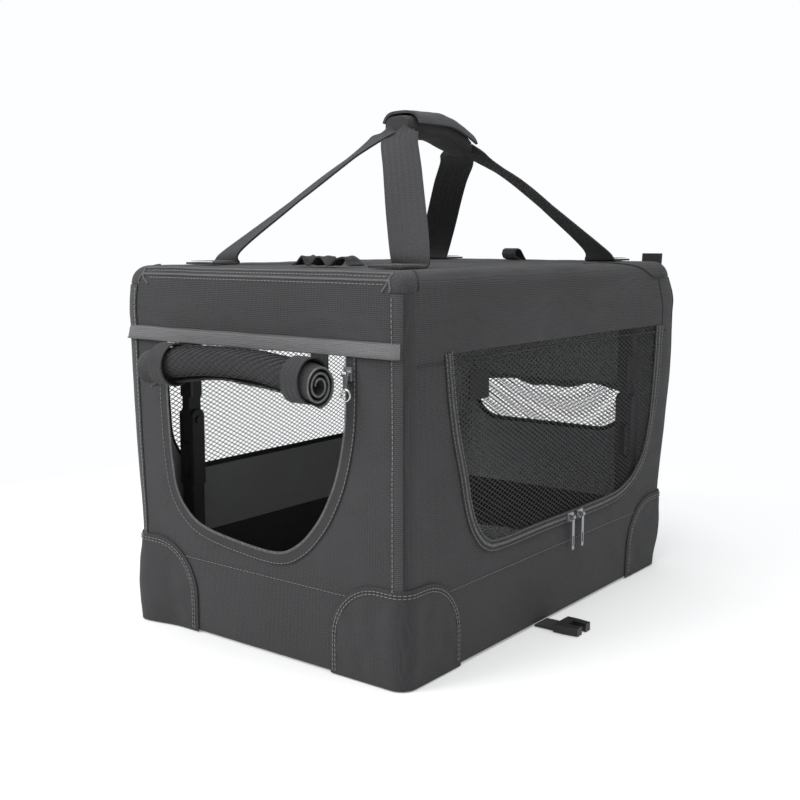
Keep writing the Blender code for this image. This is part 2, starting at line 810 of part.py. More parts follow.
def pull_mesh(length, ring_radius=0.0):
    """A pull whose eye goes round the bail at the origin and whose stem hangs down."""
    half = pull_wide / 2
    eye = rod("YZ", (0, 0), eye_radius, -half, half, 14)
    stem = block((-half, half), (-pull_thick / 2, pull_thick / 2), (-length, -stem_high))
    others = [("UNION", stem)]
    if ring_radius:
        stations = []
        centre_z = -length - ring_radius + ring_pull_wire
        for k in range(ring_pull_steps):
            a = math.tau * k / ring_pull_steps
            radial = Vector((math.cos(a), 0, math.sin(a)))
            middle = Vector((0, 0, centre_z)) + radial * ring_radius
            stations.append([
                middle + (radial * math.cos(b) + Vector((0, 1, 0)) * math.sin(b)) * ring_pull_wire
                for b in [math.tau * m / ring_pull_sides for m in range(ring_pull_sides)]
            ])
        others.append(("UNION", sweep(stations, closed=True)))
    else:
        slot = rectangle(slot_half_wide, slot_half_long, slot_corner, 3, (0, -slot_centre))
        others.append(("DIFFERENCE", slab(slot, "XZ", -overshoot, overshoot)))
    others.append(("DIFFERENCE", rod("YZ", (0, 0), bail_radius + eye_play, -overshoot, overshoot, pin_sides)))
    return apply_cuts(eye, others)


def zip_slider(name, place, turn, long_way, up_way, pull_length, ring_radius=0.0):
    """Place a slider and its pull on a tape; turn carries local outwards to the side it faces."""
    frame = Matrix.Translation(place) @ Matrix.Rotation(turn, 4, "Z")
    body = slider_mesh(long_way, up_way)
    body.transform(frame)
    piece(name + "_slider", body, ZIP_METAL, 0.35, 0.9, place)
    pivot = frame @ Vector((0, slider_thick + bail_out, 0))
    pull = pull_mesh(pull_length, ring_radius)
    pull.transform(Matrix.Translation(pivot) @ Matrix.Rotation(turn, 4, "Z"))
    piece(name + "_pull", pull, ZIP_METAL, 0.35, 0.9, tuple(pivot), 40)


def zips():
    side_face = wall_y + clearance + tape + clearance
    tape_z = door_low
    for name, x in (("side_zip_a", side_slider_centre - side_slider_apart / 2),
                    ("side_zip_b", side_slider_centre + side_slider_apart / 2)):
        zip_slider(name, (x, -side_face, tape_z), math.pi, slider_long, slider_wide, side_pull_length)
    front_face = wall_x + clearance + tape + clearance
    out = doorway_half_top
    zip_slider("front_zip_left", (-front_face, doorway_centre + out, front_slider_z), math.pi / 2,
               slider_wide, slider_long, front_pull_length)
    zip_slider("front_zip_right", (-front_face, doorway_centre - out, front_slider_z), math.pi / 2,
               slider_wide, slider_long, ring_pull_length, ring_pull_radius)


# Rolled mesh door under the hem, and the straps that hold it

roll_x = -(wall_x + clearance + tape + clearance + keeper + clearance + roll_radius)


def rolled_door():
    """A spiral strip; its least gap to itself is measured on the points and printed."""
    count = int(roll_steps * roll_turns) + 1
    growth = (roll_radius - roll_core - roll_strip) / roll_turns
    inner = []
    outer = []
    for k in range(count):
        turn = k / roll_steps
        angle = math.tau * turn
        radius = roll_core + growth * turn
        for points, r in ((inner, radius), (outer, radius + roll_strip)):
            points.append((roll_x - r * math.cos(angle), roll_z + r * math.sin(angle)))
    least = min(
        (Vector(inner[k + roll_steps]) - Vector(outer[m])).length
        for k in range(count - roll_steps)
        for m in range(max(0, k - roll_near_steps), k + roll_near_steps + 1)
    )
    print("rolled door, least gap to itself in mm:", round(least * 1000, 2))
    strip = slab(outer + list(reversed(inner)), "XZ", roll_right, roll_left)
    piece("rolled_front_door", strip, NET, 0.8, smooth=40)


def roll_keepers():
    inner = roll_radius + clearance
    outer = inner + keeper
    for label, y in zip(("left", "right"), keeper_places):
        low, high = y - keeper_width / 2, y + keeper_width / 2
        band = rod("XZ", (roll_x, roll_z), outer, low, high, keeper_sides)
        tab_face = roll_x + outer
        tab = [(tab_face - keeper, roll_z), (tab_face, roll_z), (tab_face, hem_low - clearance),
               (tab_face - keeper, hem_low - clearance)]
        bore = rod("XZ", (roll_x, roll_z), inner, low - overshoot, high + overshoot, keeper_sides)
        others = [("UNION", slab(tab, "XZ", low, high)), ("DIFFERENCE", bore)]
        piece("roll_keeper_" + label, apply_cuts(band, others), WEBBING, 0.9, smooth=40)


# Carrying handle: four webbing legs, a padded grip and its wrap

def blend(a, b, t):
    return a + (b - a) * t


def handle_legs():
    """Each leg is sewn flat on the roof, lifts off it in a bend and runs up to the grip's end."""
    for end, x_side, anchor_x in (("front", -1, front_anchor_x), ("rear", 1, rear_anchor_x)):
        for hand, y_side in (("left", 1), ("right", -1)):
            pad_z = body_height + clearance + webbing / 2
            grip_x = grip_centre + x_side * (grip_length / 2 + clearance)
            top = Vector((grip_x, y_side * leg_spread, grip_low + leg_entry))
            foot = Vector((x_side * anchor_x, y_side * anchor_y, pad_z))
            tail = foot + Vector((x_side * anchor_length, 0, 0))
            plan = Vector((top.x - foot.x, top.y - foot.y, 0)).normalized()
            route = [tail, blend(tail, foot, 0.5), foot]
            lift = foot + plan * lift_ahead + Vector((0, 0, lift_up))
            near = top + Vector((x_side * top_ahead, y_side * top_aside, -top_drop))
            route.append(lift)
            for k in range(1, leg_steps):
                route.append(blend(lift, near, k / leg_steps))
            route += [near, top + Vector((x_side * top_in, 0, -top_in_drop)), top]
            flat = Vector((0, 1, 0))
            across_plan = Vector((-plan.y, plan.x, 0))
            if across_plan.y < 0:
                across_plan = -across_plan
            stations = []
            last = len(route) - 1
            for i, here in enumerate(route):
                t = max(0.0, (i - 2) / (last - 2))
                untwist = max(0.0, t - leg_untwist_from) / (1 - leg_untwist_from)
                width = flat.lerp(across_plan, min(1.0, leg_twist_rate * t)).lerp(flat, untwist).normalized()
                ahead = route[min(i + 1, last)] - route[max(i - 1, 0)]
                normal = ahead.cross(width).normalized()
                pinch = min(1.0, max(0.0, leg_pinch_rate * (t - leg_pinch_from)))
                half = blend(webbing_width, webbing_pinched, pinch) / 2
                thick = normal * webbing / 2
                if i == last:
                    thick = Vector((0, 0, math.copysign(webbing / 2, normal.z)))
                stations.append([here - width * half - thick, here + width * half - thick,
                                 here + width * half + thick, here - width * half + thick])
            piece("handle_leg_" + end + "_" + hand, sweep(stations, thin=True), WEBBING, 0.9)


def grip():
    low, high = grip_centre - grip_length / 2, grip_centre + grip_length / 2
    middle = grip_low + grip_height / 2
    section = rectangle(grip_width / 2, grip_height / 2, grip_corner, 5, (0, middle))
    piece("grip_pad", slab(section, "YZ", low, high), FABRIC_DARK, 0.9, 0.0, (grip_centre, 0, middle), 40)
    half_y, half_z = grip_width / 2 + clearance, grip_height / 2 + clearance
    inner = rectangle(half_y, half_z, grip_corner, 5, (0, middle))
    outer = rectangle(half_y + wrap, half_z + wrap, grip_corner + wrap, 5, (0, middle))
    over = [p for p in outer if p[1] > middle]
    under = [p for p in inner if p[1] > middle]
    pivot = (grip_centre, grip_width / 2 + clearance + wrap / 2, middle)
    shell = slab(over + list(reversed(under)), "YZ", low + wrap_inset, high - wrap_inset)
    piece("grip_wrap", shell, FABRIC, 0.9, 0.0, pivot, 40)


# Small pieces

def gathered_strap():
    """Loose webbing bunched up in waves on the roof."""
    steps = gather_wave_steps * gather_waves
    base = body_height + clearance
    stations = []
    for k in range(steps + 1):
        t = k / steps
        y = gather_y + (t - 0.5) * gather_length
        wave = 0.5 - 0.5 * math.cos(math.tau * gather_waves * t)
        top = base + gather_height * blend(gather_valley, 1, wave)
        half = gather_width / 2 * blend(gather_waist, 1, wave)
        crest = half * gather_top
        stations.append([Vector((gather_x - half, y, base)), Vector((gather_x + half, y, base)),
                         Vector((gather_x + crest, y, top)), Vector((gather_x - crest, y, top))])
    piece("gathered_strap", sweep(stations), WEBBING, 0.9, smooth=50)


def roof_stub():
    base = body_height + clearance
    top = base + stub_height
    half = stub_length / 2
    far = stub_x - half - stub_lean
    outline = [(stub_x - half, base), (stub_x + half, base), (stub_x + half / 2, base + stub_shoulder),
               (stub_x - stub_ridge, top), (far, top), (far, base + stub_back)]
    stub = slab(outline, "XZ", stub_y - stub_width / 2, stub_y + stub_width / 2)
    piece("roof_pull_tab", stub, WEBBING, 0.8)


def rear_tab():
    low = body_length / 2 + clearance
    middle = (rear_tab_y, rear_tab_top - rear_tab_height / 2)
    outline = rectangle(rear_tab_width / 2, rear_tab_height / 2, rear_tab_corner, 3, middle)
    piece("rear_tab", slab(outline, "YZ", low, low + rear_tab_thick), WEBBING, 0.8, leans=True)


def base_strap():
    """A short strap hinged on its stitch line at the base, with one half of a side-release buckle."""
    roll = webbing / 2
    pivot = (strap_x, -wall_y - clearance - roll, strap_foot + roll)
    end = pivot[1] - strap_length
    section = [(end, strap_foot), (end, strap_foot + webbing)]
    for k in range(strap_end_steps + 1):
        angle = math.pi / 2 - math.pi * k / strap_end_steps
        section.append((pivot[1] + roll * math.cos(angle), pivot[2] + roll * math.sin(angle)))
    strap = slab(section, "YZ", strap_x - strap_width / 2, strap_x + strap_width / 2)
    piece("base_strap", strap, WEBBING, 0.9, 0.0, pivot)
    near = end - clearance
    far = near - buckle_length
    neck = near - buckle_body
    half = buckle_width / 2
    slot = half - buckle_arm
    outline = [(strap_x - half, near), (strap_x + half, near), (strap_x + half, neck),
               (strap_x + half - buckle_lean, far), (strap_x + slot - buckle_lean, far),
               (strap_x + slot, neck), (strap_x - slot, neck), (strap_x - slot + buckle_lean, far),
               (strap_x - half + buckle_lean, far), (strap_x - half, neck)]
    buckle = slab(outline, "XY", strap_foot, strap_foot + buckle_height)
    piece("buckle_half", buckle, PLASTIC, 0.4, 0.0, pivot)


base_tub()
corner_patches()
floor_pieces()
frame_ring("base_ring", low_ring_z, 1)
frame_ring("top_ring", high_ring_z, -1)
posts()
roof()
walls()
zip_tape("front_zip_tape", DOORWAY, "YZ", -wall_x, -1)
zip_tape("side_zip_tape", SIDE_DOOR, "XZ", -wall_y, -1)
net_panel("side_door_net", SIDE_DOOR, "XZ", -wall_y, -wall_y + net)
net_panel("side_window_net", SIDE_WINDOW, "XZ", wall_y - fabric / 2 - net / 2, wall_y - fabric / 2 + net / 2)
net_panel("end_window_net", END_WINDOW, "YZ", wall_x - fabric / 2 - net / 2, wall_x - fabric / 2 + net / 2)
zips()
rolled_door()
roll_keepers()
handle_legs()
grip()
gathered_strap()
roof_stub()
rear_tab()
base_strap()
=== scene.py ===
"""A folding pet carrier: woven fabric over a kneed tube frame, with net windows and a webbing handle."""
import math

import bmesh
import bpy
from mathutils import Matrix, Vector, noise


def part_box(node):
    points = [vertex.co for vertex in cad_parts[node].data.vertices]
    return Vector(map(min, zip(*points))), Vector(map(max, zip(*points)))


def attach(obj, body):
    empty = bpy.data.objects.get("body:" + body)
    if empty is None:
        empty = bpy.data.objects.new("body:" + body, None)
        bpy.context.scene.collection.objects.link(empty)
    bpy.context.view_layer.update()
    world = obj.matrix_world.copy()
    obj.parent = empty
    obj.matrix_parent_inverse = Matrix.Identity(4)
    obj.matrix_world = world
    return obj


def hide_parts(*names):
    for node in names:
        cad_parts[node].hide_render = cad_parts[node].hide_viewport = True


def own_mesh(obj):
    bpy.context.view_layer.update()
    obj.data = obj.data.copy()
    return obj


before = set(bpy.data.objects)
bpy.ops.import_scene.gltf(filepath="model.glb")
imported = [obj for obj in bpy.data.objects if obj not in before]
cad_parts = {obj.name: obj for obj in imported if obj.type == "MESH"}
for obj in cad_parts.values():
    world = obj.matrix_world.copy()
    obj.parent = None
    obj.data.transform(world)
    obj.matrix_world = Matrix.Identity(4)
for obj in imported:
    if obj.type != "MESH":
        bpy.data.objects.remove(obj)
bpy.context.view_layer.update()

# Camera and studio
# The view is a little above the carrier's front right corner. One broad lamp stands ahead of it to the
# left and another hangs overhead, with soft light from all round.
camera_place = (-0.9746, -0.7184, 0.3871)
camera_looks = (0.7862, 0.6010, -0.1438)
backdrop_white = (0.974, 0.991, 1.0, 1.0)

lens = bpy.data.cameras.new("camera")
lens.lens = 50.45
lens.sensor_width = 36.0
camera = bpy.data.objects.new("camera", lens)
camera.location = camera_place
camera.rotation_euler = Vector(camera_looks).to_track_quat("-Z", "Y").to_euler()
bpy.context.scene.collection.objects.link(camera)
bpy.context.scene.camera = camera
bpy.context.scene.view_settings.view_transform = "Standard"

world = bpy.data.worlds.new("studio")
world.use_nodes = True
bpy.context.scene.world = world
sky = world.node_tree
fill = sky.nodes["Background"]
fill.inputs["Color"].default_value = (0.97, 0.985, 1.0, 1.0)
fill.inputs["Strength"].default_value = 0.62
plain = sky.nodes.new("ShaderNodeBackground")
plain.inputs["Color"].default_value = backdrop_white
seen = sky.nodes.new("ShaderNodeLightPath")
pick = sky.nodes.new("ShaderNodeMixShader")
sky.links.new(seen.outputs["Is Camera Ray"], pick.inputs["Fac"])
sky.links.new(fill.outputs["Background"], pick.inputs[1])
sky.links.new(plain.outputs["Background"], pick.inputs[2])
sky.links.new(pick.outputs["Shader"], sky.nodes["World Output"].inputs["Surface"])

for name, place, target, size, power in (
    ("key", (-1.45, 0.75, 1.35), (0, 0, 0.15), 1.1, 21.0),
    ("top", (-0.25, -0.30, 1.90), (0, 0, 0.1), 1.4, 16.0),
):
    lamp = bpy.data.lights.new(name, "AREA")
    lamp.size = size
    lamp.energy = power
    holder = bpy.data.objects.new(name, lamp)
    holder.location = place
    holder.rotation_euler = (Vector(target) - Vector(place)).to_track_quat("-Z", "Y").to_euler()
    bpy.context.scene.collection.objects.link(holder)

# Floor
# A plain pale sheet lies under the carrier. It takes the shadow near it, and fades into the backdrop's
# white further out.
floor_half = 4.0
floor_glow = 0.23
fade_from = 0.45
fade_to = 0.85
bm = bmesh.new()
bmesh.ops.create_grid(bm, x_segments=2, y_segments=2, size=floor_half)
mesh = bpy.data.meshes.new("floor")
bm.to_mesh(mesh)
bm.free()
floor = bpy.data.objects.new("floor", mesh)
bpy.context.scene.collection.objects.link(floor)
paper = bpy.data.materials.new("pale_paper")
paper.use_nodes = True
tree = paper.node_tree
paper_shader = tree.nodes["Principled BSDF"]
paper_shader.inputs["Base Color"].default_value = (0.86, 0.86, 0.86, 1.0)
paper_shader.inputs["Roughness"].default_value = 0.9
paper_shader.inputs["Specular IOR Level"].default_value = 0.1
lit = tree.nodes.new("ShaderNodeEmission")
lit.inputs["Strength"].default_value = floor_glow
clear = tree.nodes.new("ShaderNodeEmission")
clear.inputs["Color"].default_value = backdrop_white
away = tree.nodes.new("ShaderNodeVectorMath")
away.operation = "LENGTH"
fade = tree.nodes.new("ShaderNodeMapRange")
fade.inputs["From Min"].default_value = fade_from
fade.inputs["From Max"].default_value = fade_to
blank = tree.nodes.new("ShaderNodeMixShader")
joined = tree.nodes.new("ShaderNodeAddShader")
eye = tree.nodes.new("ShaderNodeLightPath")
choice = tree.nodes.new("ShaderNodeMixShader")
tree.links.new(paper_shader.outputs[0], joined.inputs[0])
tree.links.new(lit.outputs[0], joined.inputs[1])
tree.links.new(eye.outputs["Is Camera Ray"], choice.inputs["Fac"])
tree.links.new(paper_shader.outputs[0], choice.inputs[1])
tree.links.new(blank.outputs[0], choice.inputs[2])
tree.links.new(joined.outputs[0], blank.inputs[1])
tree.links.new(clear.outputs[0], blank.inputs[2])
tree.links.new(tree.nodes.new("ShaderNodeTexCoord").outputs["Object"], away.inputs[0])
tree.links.new(away.outputs["Value"], fade.inputs["Value"])
tree.links.new(fade.outputs["Result"], blank.inputs["Fac"])
tree.links.new(choice.outputs[0], tree.nodes["Material Output"].inputs["Surface"])
mesh.materials.append(paper)

# Base tub
# A shallow tray of woven polyester, sewn up from one long band and a floor panel. Its lower edge is
# turned under on the floor, and its upper edge is seamed to the walls.
body_half_x = 0.2485
body_half_y = 0.1685
body_corner = 0.014
cloth_thick = 0.0026
seam_z = 0.0720
rim_z = 0.3417
roof_half_x = 0.2500
roof_half_y = 0.1700
lean_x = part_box("roof_rim")[1][0] - roof_half_x
lean_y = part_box("roof_rim")[1][1] - roof_half_y
lean_over = 0.0200
belly_back = 0.0135
belly_left = 0.0085
belly_right = 0.0060
belly_over = 0.0350
belly_share = 0.4
belly_low = 0.060
belly_rise = 0.180
belly_high = 0.310
belly_fade = 0.045
belly_right_from_x = 0.100
belly_right_rise = 0.130
foot_front = 0.0078
foot_left = 0.0005
foot_high = 0.120
foot_from_y = 0.108
foot_rise = 0.052
face_margin = 0.003
body_grey = (0.0525, 0.0525, 0.0545)


def eased(share):
    """From 0 to 1 with a soft start and end."""
    share = min(1.0, max(0.0, share))
    return share * share * (3 - 2 * share)


def near_side(reach, half, over):
    """How near a place is to one side of the body: 0 well inside it and 1 at its face."""
    return (reach - half + face_margin + over) / over


def leaned(point):
    """The back end and the left side lean outwards, and the soft cloth bellies out below the roof."""
    height = min(1.0, max(0.0, (point.z - seam_z) / (rim_z - seam_z)))
    past_x = min(1.0, max(0.0, near_side(point.x, body_half_x, lean_over)))
    past_y = min(1.0, max(0.0, near_side(point.y, body_half_y, lean_over)))
    lean = Vector((lean_x * past_x * height, lean_y * past_y * height, 0))
    upper = belly_share + (1 - belly_share) * eased((point.z - belly_low) / belly_rise)
    full = eased(point.z / belly_low) * upper * (1 - eased((point.z - belly_high) / belly_fade))
    low = 1 - eased(point.z / foot_high)
    near_back = eased(near_side(point.x, body_half_x, belly_over))
    near_left = eased(near_side(point.y, body_half_y, belly_over))
    near_right = eased(near_side(-point.y, body_half_y, belly_over))
    near_right *= eased((point.x - belly_right_from_x) / belly_right_rise)
    near_front = eased(near_side(-point.x, body_half_x, belly_over))
    near_front *= eased((point.y - foot_from_y) / foot_rise)
    belly = Vector((belly_back * near_back, belly_left * near_left - belly_right * near_right, 0)) * full
    foot = Vector((-foot_front * near_front, foot_left * near_left, 0)) * low
    return point + lean + belly + foot


def sum_node(tree, kind, first, second=0.0):
    """One step of arithmetic in a material, on sockets or plain numbers."""
    made = tree.nodes.new("ShaderNodeMath")
    made.operation = kind
    for place, value in ((0, first), (1, second)):
        if isinstance(value, (int, float)):
            made.inputs[place].default_value = value
        else:
            tree.links.new(value, made.inputs[place])
    return made.outputs[0]


def fabric_shader(name, colour, rough, sheen):
    """A matt cloth with its constants set, and the tree that its pattern is added to."""
    made = bpy.data.materials.new(name)
    made.use_nodes = True
    shader = made.node_tree.nodes["Principled BSDF"]
    shader.inputs["Roughness"].default_value = rough
    shader.inputs["Specular IOR Level"].default_value = 0.22
    shader.inputs["Sheen Weight"].default_value = sheen
    shader.inputs["Sheen Roughness"].default_value = 0.45
    shader.inputs["Base Color"].default_value = (*colour, 1.0)
    return made, made.node_tree, shader


def finish_pattern(tree, shader, colour, height, depth, contrast, blotch, place):
    """Turn a height pattern into relief, thread by thread colour and slow blotches of wear."""
    wear = tree.nodes.new("ShaderNodeTexNoise")
    wear.inputs["Scale"].default_value = 7.0
    wear.inputs["Detail"].default_value = 4.0
    tree.links.new(place, wear.inputs["Vector"])
    fluff = tree.nodes.new("ShaderNodeTexNoise")
    fluff.inputs["Scale"].default_value = 650.0
    fluff.inputs["Detail"].default_value = 2.0
    tree.links.new(place, fluff.inputs["Vector"])
    level = sum_node(tree, "MULTIPLY", height, contrast)
    spread_out = sum_node(tree, "MULTIPLY", sum_node(tree, "SUBTRACT", wear.outputs["Fac"], 0.5), blotch)
    specks = sum_node(tree, "MULTIPLY", sum_node(tree, "SUBTRACT", fluff.outputs["Fac"], 0.5), contrast)
    shade = sum_node(tree, "ADD", sum_node(tree, "ADD", level, spread_out), specks)
    share = sum_node(tree, "ADD", shade, 0.5)
    tone = tree.nodes.new("ShaderNodeMix")
    tone.data_type = "RGBA"
    tone.inputs[6].default_value = (*[c * 0.55 for c in colour], 1.0)
    tone.inputs[7].default_value = (*[c * 1.45 for c in colour], 1.0)
    tree.links.new(share, tone.inputs[0])
    tree.links.new(tone.outputs[2], shader.inputs["Base Color"])
    rise = sum_node(tree, "ADD", height, fluff.outputs["Fac"])
    bump = tree.nodes.new("ShaderNodeBump")
    bump.inputs["Strength"].default_value = 0.6
    bump.inputs["Distance"].default_value = depth
    tree.links.new(rise, bump.inputs["Height"])
    tree.links.new(bump.outputs["Normal"], shader.inputs["Normal"])


def woven(name, colour, thread=0.0017, depth=0.0003, contrast=0.30, blotch=0.5, rough=0.86, sheen=0.10):
    """Plain weave on the object's own coordinates, so that it runs on over every fold."""
    made, tree, shader = fabric_shader(name, colour, rough, sheen)
    place = tree.nodes.new("ShaderNodeTexCoord").outputs["Object"]
    split = tree.nodes.new("ShaderNodeSeparateXYZ")
    tree.links.new(place, split.inputs[0])
    wave = [sum_node(tree, "SINE", sum_node(tree, "MULTIPLY", split.outputs[k], math.tau / thread))
            for k in range(3)]
    pairs = [sum_node(tree, "MULTIPLY", wave[k], wave[(k + 1) % 3]) for k in range(3)]
    height = sum_node(tree, "ADD", sum_node(tree, "ADD", pairs[0], pairs[1]), pairs[2])
    finish_pattern(tree, shader, colour, height, depth, contrast, blotch, place)
    return made


def ribbed(name, colour, rib=0.0021, chevron=0.0058, depth=0.0005, contrast=0.32):
    """Webbing: ribs across the strap that lean in chevrons, on the strap's own coordinates in metres."""
    made, tree, shader = fabric_shader(name, colour, 0.8, 0.12)
    place = tree.nodes.new("ShaderNodeTexCoord")
    split = tree.nodes.new("ShaderNodeSeparateXYZ")
    tree.links.new(place.outputs["UV"], split.inputs[0])
    lean = sum_node(tree, "PINGPONG", split.outputs[1], chevron / 2)
    run = sum_node(tree, "ADD", split.outputs[0], lean)
    height = sum_node(tree, "SINE", sum_node(tree, "MULTIPLY", run, math.tau / rib))
    finish_pattern(tree, shader, colour, height, depth, contrast, 0.35, place.outputs["Object"])
    return made


def rounded_plan(half_x, half_y, radius, share):
    """A point at a share of the way round a rectangle with round corners, and the way out from it."""
    flat_x, flat_y = half_x - radius, half_y - radius
    bend = radius * math.pi / 2
    corners = ((flat_x, flat_y, 0), (-flat_x, flat_y, 90), (-flat_x, -flat_y, 180), (flat_x, -flat_y, 270))
    run = (share % 1.0) * 4 * (flat_x + flat_y + bend)
    straight = flat_y
    side = 0
    while True:
        if run <= straight or side == 4:
            turn = math.radians(90 * side)
            out = Vector((math.cos(turn), math.sin(turn), 0))
            ahead = Vector((-math.sin(turn), math.cos(turn), 0))
            start = Vector((half_x, 0, 0)) if side == 0 else corner + out * radius
            return start + ahead * run, out
        run -= straight
        corner = Vector((corners[side][0], corners[side][1], 0))
        if run <= bend:
            turn = math.radians(corners[side][2] + 90 * run / bend)
            out = Vector((math.cos(turn), math.sin(turn), 0))
            return corner + out * radius, out
        run -= bend
        side += 1
        straight = 2 * flat_x if side % 2 else 2 * flat_y


def spread(across, along, place, size=(1.0, 1.0)):
    """A flat grid of cloth moved to its place point by point; s and t run from 0 to 1 over it."""
    bm = bmesh.new()
    layer = bm.loops.layers.uv.new("UVMap")
    bmesh.ops.create_grid(bm, x_segments=across, y_segments=along, size=0.5)
    for face in bm.faces:
        for loop in face.loops:
            co = loop.vert.co
            loop[layer].uv = ((co.x + 0.5) * size[0], (co.y + 0.5) * size[1])
    for vert in bm.verts:
        vert.co = place(vert.co.x + 0.5, vert.co.y + 0.5)
    return bm


def settle(made):
    """Turn a piece and its modifiers into a plain mesh."""
    bpy.context.view_layer.update()
    shaped = made.evaluated_get(bpy.context.evaluated_depsgraph_get())
    made.data = bpy.data.meshes.new_from_object(shaped)
    made.modifiers.clear()


def made_of(bm, name, finish, thick=0.0, offset=0.0, smooth=True):
    """A finished object in place, its mesh given a wall thickness where it is a sheet."""
    for vert in bm.verts:
        vert.co = leaned(vert.co)
    mesh = bpy.data.meshes.new(name)
    bm.to_mesh(mesh)
    bm.free()
    mesh.materials.append(finish)
    made = bpy.data.objects.new(name, mesh)
    bpy.context.scene.collection.objects.link(made)
    if thick:
        wall = made.modifiers.new("thickness", "SOLIDIFY")
        wall.thickness = thick
        wall.offset = offset
        wall.use_even_offset = True
        settle(made)
    if smooth:
        made.data.shade_smooth()
        made.data.set_sharp_from_angle(angle=math.radians(50))
    return made


def closed_round(bm):
    """Join the two ends of a grid that has gone all the way round, with its faces pointing out."""
    bmesh.ops.remove_doubles(bm, verts=bm.verts, dist=0.00002)
    bmesh.ops.recalc_face_normals(bm, faces=bm.faces)
    return bm


def slack(point, size=0.0010, pace=11.0):
    """How far soft cloth stands off its flat place at a point, in metres."""
    broad = noise.noise(Vector(point) * pace + Vector((3.1, 7.7, 1.9)))
    small = noise.noise(Vector(point) * pace * 3.1 + Vector((9.2, 0.4, 5.5)))
    return size * (broad + 0.35 * small)


turned_share = 0.14
turned_high = 0.0044
turned_under = 0.0060


def band_place(s, t):
    """Round the tub, from its turned-under hem up to the seam."""
    turned = min(t / turned_share, 1.0)
    upright = max(0.0, t - turned_share) / (1 - turned_share) * (seam_z - 0.0050)
    z = 0.0004 + turned_high * (1 - math.cos(turned * math.pi / 2)) + upright
    tuck = turned_under * (1 - math.sin(turned * math.pi / 2))
    flat, out = rounded_plan(body_half_x, body_half_y, body_corner, s)
    fullness = math.sin(min(1.0, t) * math.pi)
    return flat + out * (slack((flat.x, flat.y, z), 0.0006) * fullness - tuck) + Vector((0, 0, z))


body_cloth = woven("woven_polyester", body_grey)
tub = made_of(closed_round(spread(330, 20, band_place)), "base_tub_band", body_cloth, cloth_thick, -1.0)
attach(tub, "base")
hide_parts("base_band_front", "base_band_back", "base_band_left", "base_band_right")

tray_inset = 0.0035


def tray_place(s, t):
    """The floor panel, a little inside the band all round."""
    x = (s - 0.5) * 2 * (body_half_x - tray_inset)
    y = (t - 0.5) * 2 * (body_half_y - tray_inset)
    return Vector((x, y, 0.0018 + slack((s, t, 0), 0.0004, 8)))


tray = made_of(spread(50, 34, tray_place), "floor_sheet", body_cloth, 0.0022)
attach(tray, "base")
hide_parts("floor_panel")

# Corner patches
# A darker piece of the same cloth is sewn over each lower corner, padded a little, with a double row
# of pale thread along its curved edge.
trim_grey = (0.0495, 0.0495, 0.0515)
patch_corner_run = 0.0820
patch_top = 0.0900
patch_curve = 0.0550
thread_pale = (0.26, 0.26, 0.26)
fine_thread = 0.0006

trim_cloth = woven("woven_trim", trim_grey, thread=0.0015, contrast=0.24)
thread_finish, tree, shader = fabric_shader("sewing_thread", thread_pale, 0.7, 0.1)
grain = tree.nodes.new("ShaderNodeTexNoise")
grain.inputs["Scale"].default_value = 900.0
ramp = tree.nodes.new("ShaderNodeMapRange")
ramp.inputs["To Min"].default_value = 0.10
ramp.inputs["To Max"].default_value = 0.30
tree.links.new(tree.nodes.new("ShaderNodeTexCoord").outputs["Object"], grain.inputs["Vector"])
tree.links.new(grain.outputs["Fac"], ramp.inputs["Value"])
tree.links.new(ramp.outputs["Result"], shader.inputs["Base Color"])


def along(points, step):
    """Places at even steps along a row of points, each with its direction."""
    places = []
    left = 0.0
    for here, ahead in zip(points, points[1:]):
        gap = (ahead - here).length
        while left < gap:
            places.append((here.lerp(ahead, left / gap), (ahead - here).normalized()))
            left += step
        left -= gap
    return places


def stitches(name, rows, out_at, body, stitch=0.0030, gap=0.0014, width=0.0007):
    """Rows of thread dashes lying on the cloth, joined in one object."""
    bm = bmesh.new()
    for points in rows:
        for here, ahead in along(points, stitch + gap):
            out = out_at(here)
            side = out.cross(ahead).normalized()
            turn = Matrix((ahead, side, ahead.cross(side))).transposed().to_4x4()
            dash = bmesh.ops.create_cube(bm, size=1.0)["verts"]
            bmesh.ops.scale(bm, vec=(stitch, width, width * 0.7), verts=dash)
            bmesh.ops.transform(bm, matrix=Matrix.Translation(here + out * width * 0.3) @ turn, verts=dash)
    made = made_of(bm, name, thread_finish)
    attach(made, body)
    return made


def corner_run(reach, lift):
    """A point on the body's corner, reach metres round it from the middle of its bend, lifted off it."""
    bend = body_corner * math.pi / 4
    if abs(reach) <= bend:
        turn = math.pi / 4 + reach / body_corner
        r = body_corner + lift
        middle_x, middle_y = body_half_x - body_corner, body_half_y - body_corner
        return Vector((middle_x + r * math.cos(turn), middle_y + r * math.sin(turn), 0))
    rest = abs(reach) - bend
    if reach < 0:
        return Vector((body_half_x + lift, body_half_y - body_corner - rest, 0))
    return Vector((body_half_x - body_corner - rest, body_half_y + lift, 0))


def out_of_body(point):
    """The way out of the body's upright sides at a point."""
    over_x = max(0.0, abs(point.x) - body_half_x + body_corner)
    over_y = max(0.0, abs(point.y) - body_half_y + body_corner)
    if over_x == 0.0 and over_y == 0.0:
        over_x = 1.0
    return Vector((math.copysign(over_x, point.x), math.copysign(over_y, point.y), 0)).normalized()


patch_half = patch_corner_run - body_corner + body_corner * math.pi / 4
patch_foot = 0.0012


def patch_edge(reach, inset=0.0):
    """The height of the patch's curved edge, or of a line inside it, at a place round the corner."""
    curve = patch_curve - inset
    inwards = min(patch_half - inset - abs(reach), curve)
    return patch_top - patch_curve + math.sqrt(max(0.0, curve ** 2 - (curve - inwards) ** 2))


